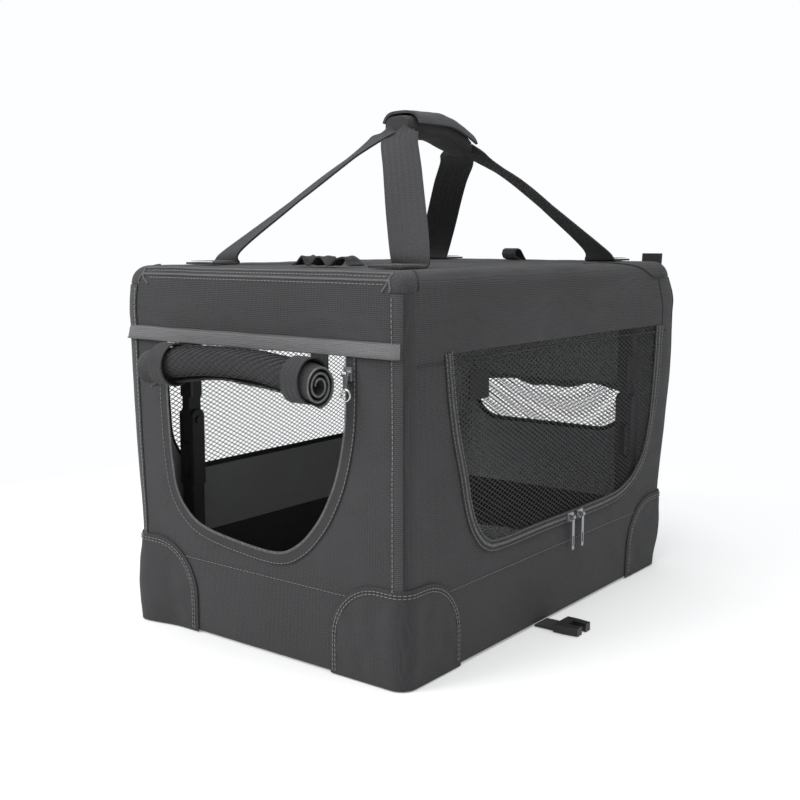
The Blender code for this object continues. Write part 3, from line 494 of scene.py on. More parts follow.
for end, x_side in (("front", -1), ("back", 1)):
    for hand, y_side in (("left", 1), ("right", -1)):
        def patch_place(s, t):
            """Columns crowd towards the free ends, where the edge drops away."""
            reach = patch_half * math.sin((s - 0.5) * math.pi)
            z = patch_foot + (patch_edge(reach) - patch_foot) * t
            rim = min(1.0, 7 * t, 7 * (1 - t), (1 - abs(reach) / patch_half) * 12)
            puff = 0.0016 * math.sin(math.pi * t) * (1 - (reach / patch_half) ** 2)
            pucker = 0.0012 * noise.noise(Vector((reach * 60, z * 45, x_side * 3 + y_side))) * rim
            spot = corner_run(reach, 0.0011 + puff + pucker + 0.0004 * rim)
            return Vector((x_side * spot.x, y_side * spot.y, z))

        bm = spread(56, 30, patch_place)
        bmesh.ops.recalc_face_normals(bm, faces=bm.faces)
        patch = made_of(bm, "corner_patch_" + end + "_" + hand + "_cloth", trim_cloth, 0.0012)
        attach(patch, "base")
        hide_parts("corner_patch_" + end + "_" + hand)
        rows = []
        for inset in (0.0035, 0.0062):
            row = []
            for k in range(61):
                reach = (patch_half - inset) * math.sin((k / 60 - 0.5) * math.pi)
                spot = corner_run(reach, 0.0026)
                row.append(Vector((x_side * spot.x, y_side * spot.y, patch_edge(reach, inset))))
            row.insert(0, Vector((row[0].x, row[0].y, 0.006)))
            row.append(Vector((row[-1].x, row[-1].y, 0.006)))
            rows.append(row)
        stitches("patch_thread_" + end + "_" + hand, rows, out_of_body, "base")

# Floor board and mat
# A stiff black board lies in the tub. A grey fleece mat, quilted in squares and rounded at its
# corners, lies loose on it.
mat_high_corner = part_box("floor_mat")[1]
# The mat's grey is partly its own colour and partly painted light: it is lifted to stand in for the light
# that falls into the tub.
mat_grey_with_painted_light = (0.22, 0.22, 0.225)

fleece, tree, shader = fabric_shader("quilted_fleece", mat_grey_with_painted_light, 0.95, 0.5)
finish_pattern(tree, shader, mat_grey_with_painted_light, sum_node(tree, "ADD", 0.0, 0.0), 0.0008, 0.5, 0.6,
               tree.nodes.new("ShaderNodeTexCoord").outputs["Object"])

mat_half_x = mat_high_corner[0] - 0.001
mat_half_y = mat_high_corner[1] - 0.001
mat_corner = 0.03
mat_cells_x = 5
mat_cells_y = 3
mat_side = 0.0078
mat_crown = 0.0060
mat_puff = 0.0045
mat_draw = 0.004
mat_bottom = 0.0066


def mat_place(s, t):
    """The top of the mat: crowned, drawn in at its sides, and sewn down along a grid of channels."""
    u, v = 2 * s - 1, 2 * t - 1
    u = math.copysign(abs(u) ** 0.9, u)
    v = math.copysign(abs(v) ** 0.9, v)
    x = u * (mat_half_x - mat_draw * (1 - v * v) * abs(u))
    y = v * (mat_half_y - mat_draw * (1 - u * u) * abs(v))
    past = Vector((max(0.0, abs(x) - mat_half_x + mat_corner), max(0.0, abs(y) - mat_half_y + mat_corner)))
    if past.x > 0 and past.y > 0:
        past *= max(past) / past.length
        x = math.copysign(mat_half_x - mat_corner + past.x, x)
        y = math.copysign(mat_half_y - mat_corner + past.y, y)
    rim = min(1.0, (1 - max(abs(u), abs(v))) * 14)
    cells = abs(math.sin(s * mat_cells_x * math.pi) * math.sin(t * mat_cells_y * math.pi)) ** 0.35
    full = mat_side + mat_crown * math.sqrt(max(0.0, rim)) + mat_puff * cells * rim
    return Vector((x, y, mat_bottom + full + slack((x, y, 1), 0.0006, 25)))


mat = made_of(spread(120, 84, mat_place), "floor_mat_fleece", fleece, 0.0060, -1.0)
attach(mat, "base")
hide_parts("floor_mat")

# Walls
# One tube of woven polyester goes round the body, seamed to the tub below and to the roof above, with
# the doorway, the side door and the two windows cut in it.
opening_top = 0.2875
wall_slack = 0.0013
held_low = 0.025
held_high = 0.020
fill_out = 0.0011
fill_from = 0.300
fill_over = 0.025
wall_cloth = woven("woven_polyester_wall", body_grey, contrast=0.34, blotch=0.6)


def wall_out(x, y, z):
    """How far the wall's outer face stands out at a place, level with the roof's rim at the top."""
    held = max(0.0, min(1.0, (z - seam_z) / held_low, (rim_z - z) / held_high))
    return slack((x, y, z), wall_slack) * held + fill_out * max(0.0, min(1.0, (z - fill_from) / fill_over))


def wall_place(s, t):
    """Round the body, from the tub's seam to the roof's rim."""
    flat, out = rounded_plan(body_half_x, body_half_y, body_corner, s)
    z = seam_z - 0.0005 + (rim_z - seam_z + 0.0008) * t
    return flat + out * wall_out(flat.x, flat.y, z) + Vector((0, 0, z))


def curve_through(points, per=10):
    """A smooth line through a few points."""
    points = [Vector(p) for p in points]
    line = []
    for k in range(len(points) - 1):
        a, b = points[k], points[k + 1]
        before = points[k - 1] if k else a - (b - a)
        after = points[k + 2] if k + 2 < len(points) else b + (b - a)
        for j in range(per):
            t = j / per
            line.append(0.5 * (2 * a + (b - before) * t + (2 * before - 5 * a + 4 * b - after) * t * t
                               + (3 * a - before - 3 * b + after) * t ** 3))
    line.append(points[-1])
    return line


def window_line(centre, half, low, curve):
    """Down one side of a window, round its lower corners and up the other."""
    line = [Vector((centre - half, opening_top))]
    for corner_u, start in ((centre - half + curve, 180), (centre + half - curve, 270)):
        for k in range(13):
            turn = math.radians(start + 90 * k / 12)
            line.append(Vector((corner_u + curve * math.cos(turn), low + curve + curve * math.sin(turn))))
    line.append(Vector((centre + half, opening_top)))
    return line


doorway_line = curve_through((
    (0.127, opening_top), (0.1272, 0.229), (0.1245, 0.180), (0.118, 0.1425), (0.103, 0.120),
    (0.078, 0.1055), (0.030, 0.0975), (-0.022, 0.0950), (-0.050, 0.1060), (-0.073, 0.1280),
    (-0.0905, 0.1560), (-0.1025, 0.1880), (-0.1090, 0.2200), (-0.1110, 0.2500), (-0.1112, opening_top)))
door_line = curve_through((
    (-0.1875, opening_top), (-0.1790, 0.2300), (-0.1640, 0.1800), (-0.1560, 0.1500), (-0.1440, 0.1240),
    (-0.1250, 0.1060), (-0.0950, 0.1005), (0.0000, 0.1010), (0.1050, 0.1010), (0.1500, 0.1060),
    (0.1800, 0.1200), (0.2000, 0.1420), (0.2120, 0.1740), (0.2180, 0.2200), (0.2220, opening_top)))
side_window_line = window_line(0.0, 0.200, 0.140, 0.050)
end_window_line = window_line(-0.009, 0.1155, 0.150, 0.046)


def cutter(line, plane, low, high):
    """A solid of an opening's outline, pushed through its wall."""
    bm = bmesh.new()
    corners = [(low, p.x, p.y) if plane == "YZ" else (p.x, low, p.y) for p in line]
    face = bm.faces.new([bm.verts.new(corner) for corner in corners])
    pushed = bmesh.ops.extrude_face_region(bm, geom=[face])["geom"]
    shift = (high - low, 0, 0) if plane == "YZ" else (0, high - low, 0)
    bmesh.ops.translate(bm, vec=shift, verts=[g for g in pushed if isinstance(g, bmesh.types.BMVert)])
    bmesh.ops.recalc_face_normals(bm, faces=bm.faces)
    mesh = bpy.data.meshes.new("cutter")
    bm.to_mesh(mesh)
    bm.free()
    made = bpy.data.objects.new("cutter", mesh)
    bpy.context.scene.collection.objects.link(made)
    return made


def cut_through(piece, tools):
    """Cut a finished wall with its openings, and leave a plain mesh."""
    for tool in tools:
        step = piece.modifiers.new("opening", "BOOLEAN")
        step.operation = "DIFFERENCE"
        step.solver = "EXACT"
        step.object = tool
    settle(piece)
    for tool in tools:
        bpy.data.objects.remove(tool, do_unlink=True)
    piece.data.shade_smooth()
    piece.data.set_sharp_from_angle(angle=math.radians(50))


def crumples(piece, *nodes, slot="trim_fabric"):
    """A part of the walls: it stands on the base and is carried with it."""
    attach(piece, "base")
    if nodes:
        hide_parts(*nodes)
    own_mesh(piece)


# The walls' inner faces take a far lighter grey than the cloth: painted light, standing in for the light that
# fills the inside of the body.
inner_painted_light_grey = (0.30, 0.30, 0.305)
inner_painted_light_finish = woven("coated_lining", inner_painted_light_grey, thread=0.0024, depth=0.0001, contrast=0.12, blotch=0.3,
                      rough=0.9)
walls = made_of(closed_round(spread(300, 46, wall_place)), "body_walls", wall_cloth, cloth_thick, -1.0)
cut_deep = 0.02
cut_through(walls, [
    cutter(line, plane, middle - cut_deep, middle + cut_deep) for line, plane, middle in (
        (doorway_line, "YZ", -body_half_x),
        (end_window_line, "YZ", body_half_x),
        (door_line, "XZ", -body_half_y),
        (side_window_line, "XZ", body_half_y),
    )])
# Faces that point into the body take the painted-light grey.
walls.data.materials.append(inner_painted_light_finish)
for face in walls.data.polygons:
    if face.normal.dot(out_of_body(face.center)) < -0.5:
        face.material_index = 1
crumples(walls, "front_wall", "back_wall", "left_wall", "right_wall", slot="woven_fabric")

# Bindings and seams
# Ribbed tape binds the two end panels down their edges, sewn on with one row of thread. A line of
# thread also runs round the body just above the tub's seam.
binding_grey = (0.066, 0.066, 0.068)
binding_y = 0.1600
binding_wide = 0.0095
binding_finish = ribbed("ribbed_binding", binding_grey, rib=0.0017, chevron=0.0001, contrast=0.4)


def ribbon(name, line, to_wall, width, lift, finish, thick=0.0009, across=6, ruffle=0.0):
    """A flat tape laid along a line drawn on a wall, lifted off it."""
    lengths = [0.0]
    for a, b in zip(line, line[1:]):
        lengths.append(lengths[-1] + (b - a).length)
    total = lengths[-1]
    steps = max(8, int(total / 0.004))

    def place(s, t):
        run = min(max(s, 0.0), 1.0) * total
        k = 0
        while k < len(line) - 2 and lengths[k + 1] < run:
            k += 1
        part = (run - lengths[k]) / max(lengths[k + 1] - lengths[k], 1e-9)
        spot = line[k].lerp(line[k + 1], part)
        ahead = (line[min(k + 2, len(line) - 1)] - line[max(k - 1, 0)]).normalized()
        side = Vector((-ahead.y, ahead.x))
        wave = ruffle * math.sin(run * 260.0 + 3 * math.sin(run * 47.0))
        spot = spot + side * ((t - 0.5) * width)
        return to_wall(spot.x, spot.y, lift + wave)

    return made_of(spread(steps, across, place, (total, width)), name, finish, thick)


def on_end(side, y, z, lift):
    """A place on an end wall, carried on round the corner's bend past its flat part."""
    flat_y = body_half_y - body_corner
    turn = max(0.0, abs(y) - flat_y) / body_corner
    reach = body_corner + wall_out(side * body_half_x, y, z) + lift
    x = body_half_x - body_corner + reach * math.cos(turn)
    return Vector((side * x, math.copysign(min(abs(y), flat_y) + reach * math.sin(turn), y), z))


def on_front(y, z, lift):
    return on_end(-1, y, z, lift)


def on_back(y, z, lift):
    return on_end(1, y, z, lift)


def on_right(x, z, lift):
    return Vector((x, -body_half_y - wall_out(x, -body_half_y, z) - lift, z))


def on_left(x, z, lift):
    return Vector((x, body_half_y + wall_out(x, body_half_y, z) + lift, z))


def wall_thread(name, rows, to_wall, out, lift=0.0006, **sizes):
    """Stitching along lines drawn on a wall."""
    rows = [[to_wall(p.x, p.y, lift) for p in row] for row in rows]
    crumples(stitches(name, rows, lambda p: Vector(out), "base", **sizes))


for label, to_wall, out in (("front", on_front, (-1, 0, 0)), ("back", on_back, (1, 0, 0))):
    for hand, y in (("right", -binding_y), ("left", binding_y)):
        line = [Vector((y, patch_top + (rim_z - patch_top - 0.0010) * k / 30)) for k in range(31)]
        edge = ribbon(label + "_binding_" + hand, line, to_wall, binding_wide, 0.0005, binding_finish, 0.0008)
        crumples(edge)
        row = [Vector((y - math.copysign(0.0040, y), p.y)) for p in line]
        wall_thread(label + "_binding_thread_" + hand, [row], to_wall, out, 0.0014)

seam_half_x = 0.232
seam_half_y = 0.150
for label, to_wall, out, half in (
    ("front", on_front, (-1, 0, 0), seam_half_y),
    ("back", on_back, (1, 0, 0), seam_half_y),
    ("right", on_right, (0, -1, 0), seam_half_x),
    ("left", on_left, (0, 1, 0), seam_half_x),
):
    row = [Vector((u / 40 * half, seam_z + 0.0030)) for u in range(-40, 41)]
    wall_thread("seam_thread_" + label, [row], to_wall, out, width=0.0005)

# Front hem
# A stiffened fold of the same cloth overhangs the doorway and is sewn to the wall along its upper edge.
# Both its edges carry pale ribbed piping.
hem_half = 0.1625
hem_high = 0.0120
hem_grey = (0.172, 0.172, 0.175)
hem_finish = woven("hem_fold", hem_grey, thread=0.0014, contrast=0.35)


def hem_place(s, t):
    """The hem's face: it stands out most at its lower edge, and waves a little along it."""
    y = hem_half - 2 * hem_half * s
    z = opening_top + 0.0005 + hem_high * t + 0.0006 * noise.noise(Vector((s * 9, 0, 0)))
    out = 0.0024 * (1 - t) ** 0.6 + 0.0007 + 0.0004 * noise.noise(Vector((s * 22, t * 3, 4)))
    return on_front(y, z, out)


hem = made_of(spread(120, 8, hem_place), "front_hem", hem_finish, 0.0012)
crumples(hem, slot="woven_fabric")


def tube(name, points, radius, finish, sides=8):
    """A round cord or piping through points, its ends closed."""
    curve = bpy.data.curves.new(name, "CURVE")
    curve.dimensions = "3D"
    curve.bevel_depth = radius
    curve.bevel_resolution = 1 if sides <= 6 else 2
    curve.use_fill_caps = True
    spline = curve.splines.new("POLY")
    spline.points.add(len(points) - 1)
    for point, co in zip(spline.points, points):
        point.co = (*leaned(co), 1.0)
    holder = bpy.data.objects.new(name, curve)
    bpy.context.scene.collection.objects.link(holder)
    bpy.context.view_layer.update()
    mesh = bpy.data.meshes.new_from_object(holder.evaluated_get(bpy.context.evaluated_depsgraph_get()))
    bpy.data.objects.remove(holder, do_unlink=True)
    mesh.materials.clear()
    mesh.materials.append(finish)
    mesh.shade_smooth()
    made = bpy.data.objects.new(name, mesh)
    bpy.context.scene.collection.objects.link(made)
    return made


piping_finish = ribbed("pale_piping", (0.15, 0.15, 0.152), rib=0.0020, chevron=0.0001, contrast=0.35)
for label, t, radius, out in (("low", 0.0, 0.0009, 0.0008), ("high", 1.0, 0.0006, 0.0004)):
    line = [hem_place(k / 100, t) - Vector((out, 0, 0)) for k in range(101)]
    crumples(tube("hem_piping_" + label, line, radius, piping_finish))

# Side seam
# A plain seam runs along each long side, at about the height of the doorway's hem. A shorter one runs
# up from it near the back end.
side_seam_z = 0.2806
back_seam_x = 0.2265
seam_finish = woven("seam_shadow", (0.030, 0.030, 0.031), contrast=0.2)
for label, to_wall in (("right", on_right), ("left", on_left)):
    line = []
    for k in range(81):
        z = side_seam_z + 0.0008 * noise.noise(Vector((k * 0.2, 1, 0)))
        line.append(to_wall(-seam_half_x + 2 * seam_half_x * k / 80, z, 0.0001))
    crumples(tube("side_seam_" + label, line, 0.0007, seam_finish))
    line = []
    for k in range(21):
        x = back_seam_x + 0.0012 * math.sin(k * 0.3)
        line.append(to_wall(x, side_seam_z + 0.0014 + (rim_z - side_seam_z - 0.0034) * k / 20, 0.0001))
    crumples(tube("back_seam_" + label, line, 0.0006, seam_finish))

# Zips
# Each opening has a woven zip tape. The doorway's carries one row of coil at its free edge, and the
# side door's is shut, with the coil down its middle.
tape_grey = (0.046, 0.046, 0.048)
tape_finish = woven("zip_tape", tape_grey, thread=0.0012, contrast=0.25)
coil_finish, tree, shader = fabric_shader("zip_coil", (0.13, 0.13, 0.135), 0.35, 0.0)
shine = tree.nodes.new("ShaderNodeTexNoise")
shine.inputs["Scale"].default_value = 300.0
tree.links.new(tree.nodes.new("ShaderNodeTexCoord").outputs["Object"], shine.inputs["Vector"])
band = tree.nodes.new("ShaderNodeMapRange")
band.inputs["To Min"].default_value = 0.06
band.inputs["To Max"].default_value = 0.30
tree.links.new(shine.outputs["Fac"], band.inputs["Value"])
tree.links.new(band.outputs["Result"], shader.inputs["Base Color"])


def moved_line(line, by):
    """The same line shifted sideways in its plane, to its right."""
    shifted = []
    for k, point in enumerate(line):
        ahead = (line[min(k + 1, len(line) - 1)] - line[max(k - 1, 0)]).normalized()
        shifted.append(point + Vector((ahead.y, -ahead.x)) * by)
    return shifted


def coil(name, line, to_wall, out, lift, pitch=0.0017, tooth=(0.0008, 0.0024, 0.0010)):
    """The teeth of a zip, one small ridge after another along its line."""
    bm = bmesh.new()
    path = [to_wall(p.x, p.y, lift) for p in line]
    for here, ahead in along(path, pitch):
        side = Vector(out).cross(ahead).normalized()
        turn = Matrix((ahead, side, ahead.cross(side))).transposed().to_4x4()
        ridge = bmesh.ops.create_cube(bm, size=1.0)["verts"]
        bmesh.ops.scale(bm, vec=tooth, verts=ridge)
        bmesh.ops.transform(bm, matrix=Matrix.Translation(here) @ turn, verts=ridge)
    return made_of(bm, name, coil_finish, smooth=False)


tape_thick = 0.0010
tape_thread_in = 0.0046
tape_thread_lift = 0.0014
front_tape = ribbon("doorway_zip_tape", doorway_line, on_front, 0.0110, 0.0008, tape_finish, tape_thick)
crumples(front_tape, "front_zip_tape")
crumples(coil("doorway_coil", moved_line(doorway_line, 0.0052), on_front, (-1, 0, 0), 0.0012))
wall_thread("doorway_zip_thread", [moved_line(doorway_line, -tape_thread_in)], on_front, (-1, 0, 0),
            tape_thread_lift, width=fine_thread)
side_tape = ribbon("side_door_zip_tape", door_line, on_right, 0.0120, 0.0008, tape_finish, tape_thick,
                   ruffle=0.0002)
crumples(side_tape, "side_zip_tape")
crumples(coil("side_door_coil", door_line, on_right, (0, -1, 0), 0.0016))
for label, by in (("outer", tape_thread_in), ("inner", -tape_thread_in)):
    wall_thread("side_zip_thread_" + label, [moved_line(door_line, by)], on_right, (0, -1, 0),
                tape_thread_lift, width=fine_thread)
for label, line, to_wall, out in (("side", side_window_line, on_left, (0, 1, 0)),
                                  ("end", end_window_line, on_back, (1, 0, 0))):
    edge = ribbon(label + "_window_binding", line, to_wall, 0.0100, 0.0007, tape_finish, tape_thick)
    crumples(edge)
    wall_thread(label + "_window_thread", [moved_line(line, 0.0030)], to_wall, out, tape_thread_lift,
                width=fine_thread)

# Nets
# Open knitted net with flat diamond meshes fills the windows and the side door, sewn in behind the
# tapes all round.
mesh_wide = 0.0090
mesh_high = 0.0049
strand = 0.0010
net_grey = (0.030, 0.030, 0.032)
net_finish = woven("knitted_net", net_grey, thread=0.0009, depth=0.0001, contrast=0.3, blotch=0.2, rough=0.7)


def in_outline(point, line):
    """Whether a point lies inside a closed outline."""
    hit = False
    for a, b in zip(line, line[1:] + line[:1]):
        if (a.y > point.y) != (b.y > point.y) and point.x < (b.x - a.x) * (point.y - a.y) / (b.y - a.y) + a.x:
            hit = not hit
    return hit


def diamonds(low_u, high_u, low_v, high_v, keep):
    """A flat sheet of diamond faces between limits, kept where the test says."""
    bm = bmesh.new()
    across = round((high_u - low_u) / mesh_wide)
    up = round((high_v - low_v) / mesh_high)
    bmesh.ops.create_grid(bm, x_segments=across, y_segments=up, size=0.5)
    bmesh.ops.scale(bm, vec=(high_u - low_u, high_v - low_v, 1), verts=bm.verts)
    bmesh.ops.translate(bm, vec=((low_u + high_u) / 2, (low_v + high_v) / 2, 0), verts=bm.verts)
    straight = [e for e in bm.edges if not e.is_boundary]
    bmesh.ops.poke(bm, faces=bm.faces)
    bmesh.ops.dissolve_edges(bm, edges=[e for e in straight if e.is_valid], use_verts=False)
    bmesh.ops.delete(bm, geom=[f for f in bm.faces if not keep(f.calc_center_median())], context="FACES")
    return bm


def knotted(bm, name):
    """Turn each side of each mesh into a strand, and dress the net."""
    bmesh.ops.wireframe(bm, faces=bm.faces, thickness=strand, offset=0.0, use_replace=True, use_boundary=True,
                        use_even_offset=False)
    return made_of(bm, name, net_finish, smooth=False)


net_slack = 0.0007
net_margin = 0.006
net_grown = 1.025
door_net_y = -0.1676
side_net_y = 0.1672
end_net_x = 0.2472


def door_net_place(u, v):
    return Vector((u, door_net_y + slack((u, 5, v), net_slack), v))


def side_net_place(u, v):
    return Vector((u, side_net_y + slack((u, 6, v), net_slack), v))


def end_net_place(u, v):
    return Vector((end_net_x + slack((7, u, v), net_slack), u, v))


for name, line, node, place in (
    ("side_door_mesh", door_line, "side_door_net", door_net_place),
    ("side_window_mesh", side_window_line, "side_window_net", side_net_place),
    ("end_window_mesh", end_window_line, "end_window_net", end_net_place),
):
    us = [p.x for p in line]
    vs = [p.y for p in line]
    centre = Vector(((min(us) + max(us)) / 2, (min(vs) + max(vs)) / 2))
    grown = [centre + (p - centre) * net_grown for p in line]
    bm = diamonds(min(us) - net_margin, max(us) + net_margin, min(vs) - net_margin, opening_top + net_margin,
                  lambda c: in_outline(c, grown))
    for vert in bm.verts:
        vert.co = place(vert.co.x, vert.co.y)
    crumples(knotted(bm, name), node, slot="net")

# Side door tabs
# Two folded squares of webbing are sewn inside the side door's net, near its upper corners. They show
# through it as darker squares.
door_tab_wide = 0.031
door_tab_high = 0.027
door_tab_y = -0.1652
for label, tab_x, tab_z in (("front", -0.1335, 0.2555), ("back", 0.1755, 0.2420)):
    def door_tab_place(s, t):
        x = tab_x + (s - 0.5) * door_tab_wide
        z = tab_z + (t - 0.5) * door_tab_high
        return Vector((x, door_tab_y + slack((x, 9, z), 0.0008, 40), z))

    bm = spread(12, 10, door_tab_place, (door_tab_wide, door_tab_high))
    crumples(made_of(bm, "side_door_tab_" + label, seam_finish, 0.0016), slot="webbing")

# Roof
# The roof is a soft cap of the body cloth over the upper tube ring. It is folded down round its edges
# and sewn to the walls below them.
roof_edge = 0.0150
roof_top = 0.3600
rim_low = 0.3420
border = roof_edge * math.pi / 2 + roof_top - rim_low - roof_edge
flat_u = roof_half_x - roof_edge
flat_v = roof_half_y - roof_edge
roof_cloth = woven("woven_polyester_roof", body_grey, contrast=0.34, blotch=0.6)


def roof_point(u, v, lift=0.0):
    """Fold a flat sheet down over the roof's edges; u and v are measured over the cloth."""
    near_u = max(-flat_u, min(flat_u, u))
    near_v = max(-flat_v, min(flat_v, v))
    past = Vector((u - near_u, v - near_v, 0))
    run = min(border, max(abs(past.x), abs(past.y)))
    inner = min(1.0, (1 - abs(near_u) / flat_u) * 6, (1 - abs(near_v) / flat_v) * 6)
    top = slack((u, v, 2.0), 0.0019, 7.0) * inner
    if run < 1e-9:
        return Vector((u, v, roof_top - 0.0006 + top + lift))
    out = past.normalized()
    turn = min(run / roof_edge, math.pi / 2)
    reach = roof_edge * math.sin(turn)
    fall = roof_edge * (1 - math.cos(turn)) + max(0.0, run - roof_edge * math.pi / 2)
    soft = slack((u, v, 2.0), 0.0008, 16.0) * min(1.0, (border - run) / 0.012)
    normal = out * math.sin(turn) + Vector((0, 0, math.cos(turn)))
    return Vector((near_u, near_v, roof_top - fall)) + out * reach + normal * (lift + soft - 0.0004)


def roof_place(s, t):
    return roof_point((2 * s - 1) * (flat_u + border), (2 * t - 1) * (flat_v + border))


def on_roof(piece, slot, *nodes):
    """A piece that is sewn to the roof and comes down with it as the frame folds."""
    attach(piece, "roof")
    if nodes:
        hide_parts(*nodes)


bm = spread(190, 140, roof_place)
bmesh.ops.recalc_face_normals(bm, faces=bm.faces)
if sum(f.normal.z for f in bm.faces) < 0:
    bmesh.ops.reverse_faces(bm, faces=bm.faces)
roof = made_of(bm, "roof_cloth", roof_cloth, 0.0026, -1.0)
on_roof(roof, "woven_fabric", "roof_panel", "roof_rim")

# Roof piping and seams
# Two rows of pale piping run along each end of the roof, and turn down at its corners. A curved seam
# closes each corner, and the one at the right of the back end sweeps far forward.
piping_radius = 0.0010
piping_runs = (("upper", 0.0085), ("lower", 0.0165))
edge_thread_long = 0.29


def roof_cord(name, points, radius, finish):
    """Piping or a seam laid over the roof through places measured on its cloth."""
    line = curve_through(points, 12)
    on_roof(tube(name, [roof_point(p.x, p.y, radius * 0.4) for p in line], radius, finish), "trim_fabric")


for end, side in (("front", -1), ("back", 1)):
    for label, run in piping_runs:
        u = side * (flat_u + run)
        v = flat_v - 0.003
        name = end + "_piping_" + label
        roof_cord(name, ((u, -v), (u, -v * 0.6), (u, 0), (u, v * 0.6), (u, v)), piping_radius, piping_finish)
        for hand, ending in ((-1, "_right"), (1, "_left")):
            start = Vector((u, hand * v))
            spread_in = piping_runs[1][1] - run
            finish_at = Vector((side * (flat_u + border - 0.0003), hand * (flat_v - 0.0015 - spread_in)))
            halfway = start.lerp(finish_at, 0.5) + Vector((side * 0.002, hand * 0.0015))
            roof_cord(name + ending, (start, halfway, finish_at), piping_radius, piping_finish)
    for hand, label in ((-1, "right"), (1, "left")):
        start_u = side * (flat_u - 0.015)
        points = ((start_u, hand * (flat_v + 0.001)), (start_u + side * 0.008, hand * (flat_v + 0.012)),
                  (side * (flat_u - 0.002), hand * (flat_v + border - 0.0006)))
        if side > 0 and hand < 0:
            points = ((0.085, hand * (flat_v - 0.004)), (0.135, hand * (flat_v + 0.004)),
                      (0.180, hand * (flat_v + 0.012)), (0.214, hand * (flat_v + 0.026)),
                      (0.234, hand * (flat_v + border - 0.0005)))
        roof_cord(end + "_corner_seam_" + label, points, 0.0008, seam_finish)

rows = []
for run in (0.0125, 0.0200):
    rows.append([roof_point(-flat_u - run, (k / 60 - 0.5) * edge_thread_long, 0.0004) for k in range(61)])
stitches("front_edge_thread", rows, lambda p: Vector((-0.9, 0, 0.43)), "roof", width=fine_thread)

# Rolled front door
# The doorway's net is rolled up under the hem with its zip tape wound in at both ends. It arches up
# tight under the hem between two webbing keepers, and its two ends hang.
roll_x = -0.2711
roll_z = 0.2625
roll_radius = 0.0188
roll_core = 0.0050
roll_turns = 2.75
roll_arch = 0.0125
roll_short = 0.008
roll_low_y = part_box("rolled_front_door")[0][1] + roll_short
roll_high_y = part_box("rolled_front_door")[1][1]
roll_long = roll_high_y - roll_low_y


def roll_rise(y):
    """How far the roll's middle stands above its hanging ends at a place along it."""
    share = max(0.0, min(1.0, (y - roll_low_y) / roll_long))
    return roll_arch * math.sin(math.pi * share) ** 0.8


def roll_spot(turn, y, lift=0.0):
    """A place on the rolled net: wound outwards with its turns, and arched between its ends."""
    share = (y - roll_low_y) / roll_long
    rise = roll_rise(y) + 0.0010 * noise.noise(Vector((y * 30, 0, 3)))
    angle = math.tau * turn
    r = roll_core + (roll_radius - roll_core) * turn / roll_turns + lift
    r *= 1.0 - 0.09 * math.sin(math.pi * share) + 0.07 * noise.noise(Vector((y * 24, turn * 2.3, 8)))
    return Vector((roll_x - r * math.cos(angle), y, roll_z + rise + r * math.sin(angle) * 0.98))


unrolled = math.tau * (roll_core + roll_radius) / 2 * roll_turns
net_in = 0.006
bm = diamonds(0.0, roll_long - 2 * net_in, 0.0, unrolled, lambda c: True)
for vert in bm.verts:
    vert.co = roll_spot(vert.co.y / unrolled * roll_turns, roll_low_y + net_in + vert.co.x)
on_roof(knotted(bm, "rolled_door_net"), "net", "rolled_front_door")

tape_from = 0.02
for label, side, y, wide in (
    ("left", 1, roll_high_y - 0.0075, 0.0150),
    ("right", -1, roll_low_y + 0.0060, 0.0120),
):
    def rolled_tape_place(s, t):
        return roll_spot(tape_from + s * (roll_turns - tape_from), y + (t - 0.5) * wide, 0.0002)

    bm = spread(110, 6, rolled_tape_place, (unrolled, wide))
    on_roof(made_of(bm, "rolled_tape_" + label, tape_finish, 0.0016), "trim_fabric")
    edge_y = y + side * wide / 2 * 0.96
    line = [roll_spot(tape_from + k / 110 * (roll_turns - tape_from), edge_y) for k in range(111)]
    on_roof(tube("rolled_edge_" + label, line, 0.0011, coil_finish, 6), "trim_fabric")

painted_shade_inset = 0.010


def rolled_painted_shade_place(s, t):
    """A dark sheet between the turns: painted shade, standing in for the shadow inside the roll, so that the
    net shows dark where it is rolled.
    """
    return roll_spot(s * roll_turns, roll_low_y + painted_shade_inset + t * (roll_long - 2 * painted_shade_inset), -0.0012)


# The sheet is painted shade, in the zip tape's dark finish.
bm = spread(150, 30, rolled_painted_shade_place, (unrolled, roll_long))
on_roof(made_of(bm, "rolled_lining", tape_finish, 0.0008), "net")

# Roll keepers
# Two short webbing straps hang from the hem and go round the rolled door to hold it up. The net shows
# between them.
webbing_grey = (0.040, 0.040, 0.042)
webbing_finish = ribbed("webbing", webbing_grey, contrast=0.42)
keeper_wide = 0.0195
keeper_round = 0.0197
keeper_drop = 0.12
for label, centre_y in (("left", 0.092), ("right", -0.078)):
    middle_z = roll_z + roll_rise(centre_y)

    def keeper_place(s, t):
        """Down from the hem, round behind and under the roll, and up its front."""
        y = centre_y + (t - 0.5) * keeper_wide
        if s < keeper_drop:
            fall = (opening_top - middle_z) * s / keeper_drop
            return Vector((roll_x + keeper_round, y, opening_top - fall))
        angle = (s - keeper_drop) / (1 - keeper_drop) * math.radians(350)
        return Vector((roll_x + keeper_round * math.cos(angle), y, middle_z - keeper_round * math.sin(angle)))

    bm = spread(60, 6, keeper_place, (0.145, keeper_wide))
    keeper = made_of(bm, "roll_keeper_" + label + "_strap", webbing_finish, 0.0014)
    on_roof(keeper, "webbing", "roll_keeper_" + label)

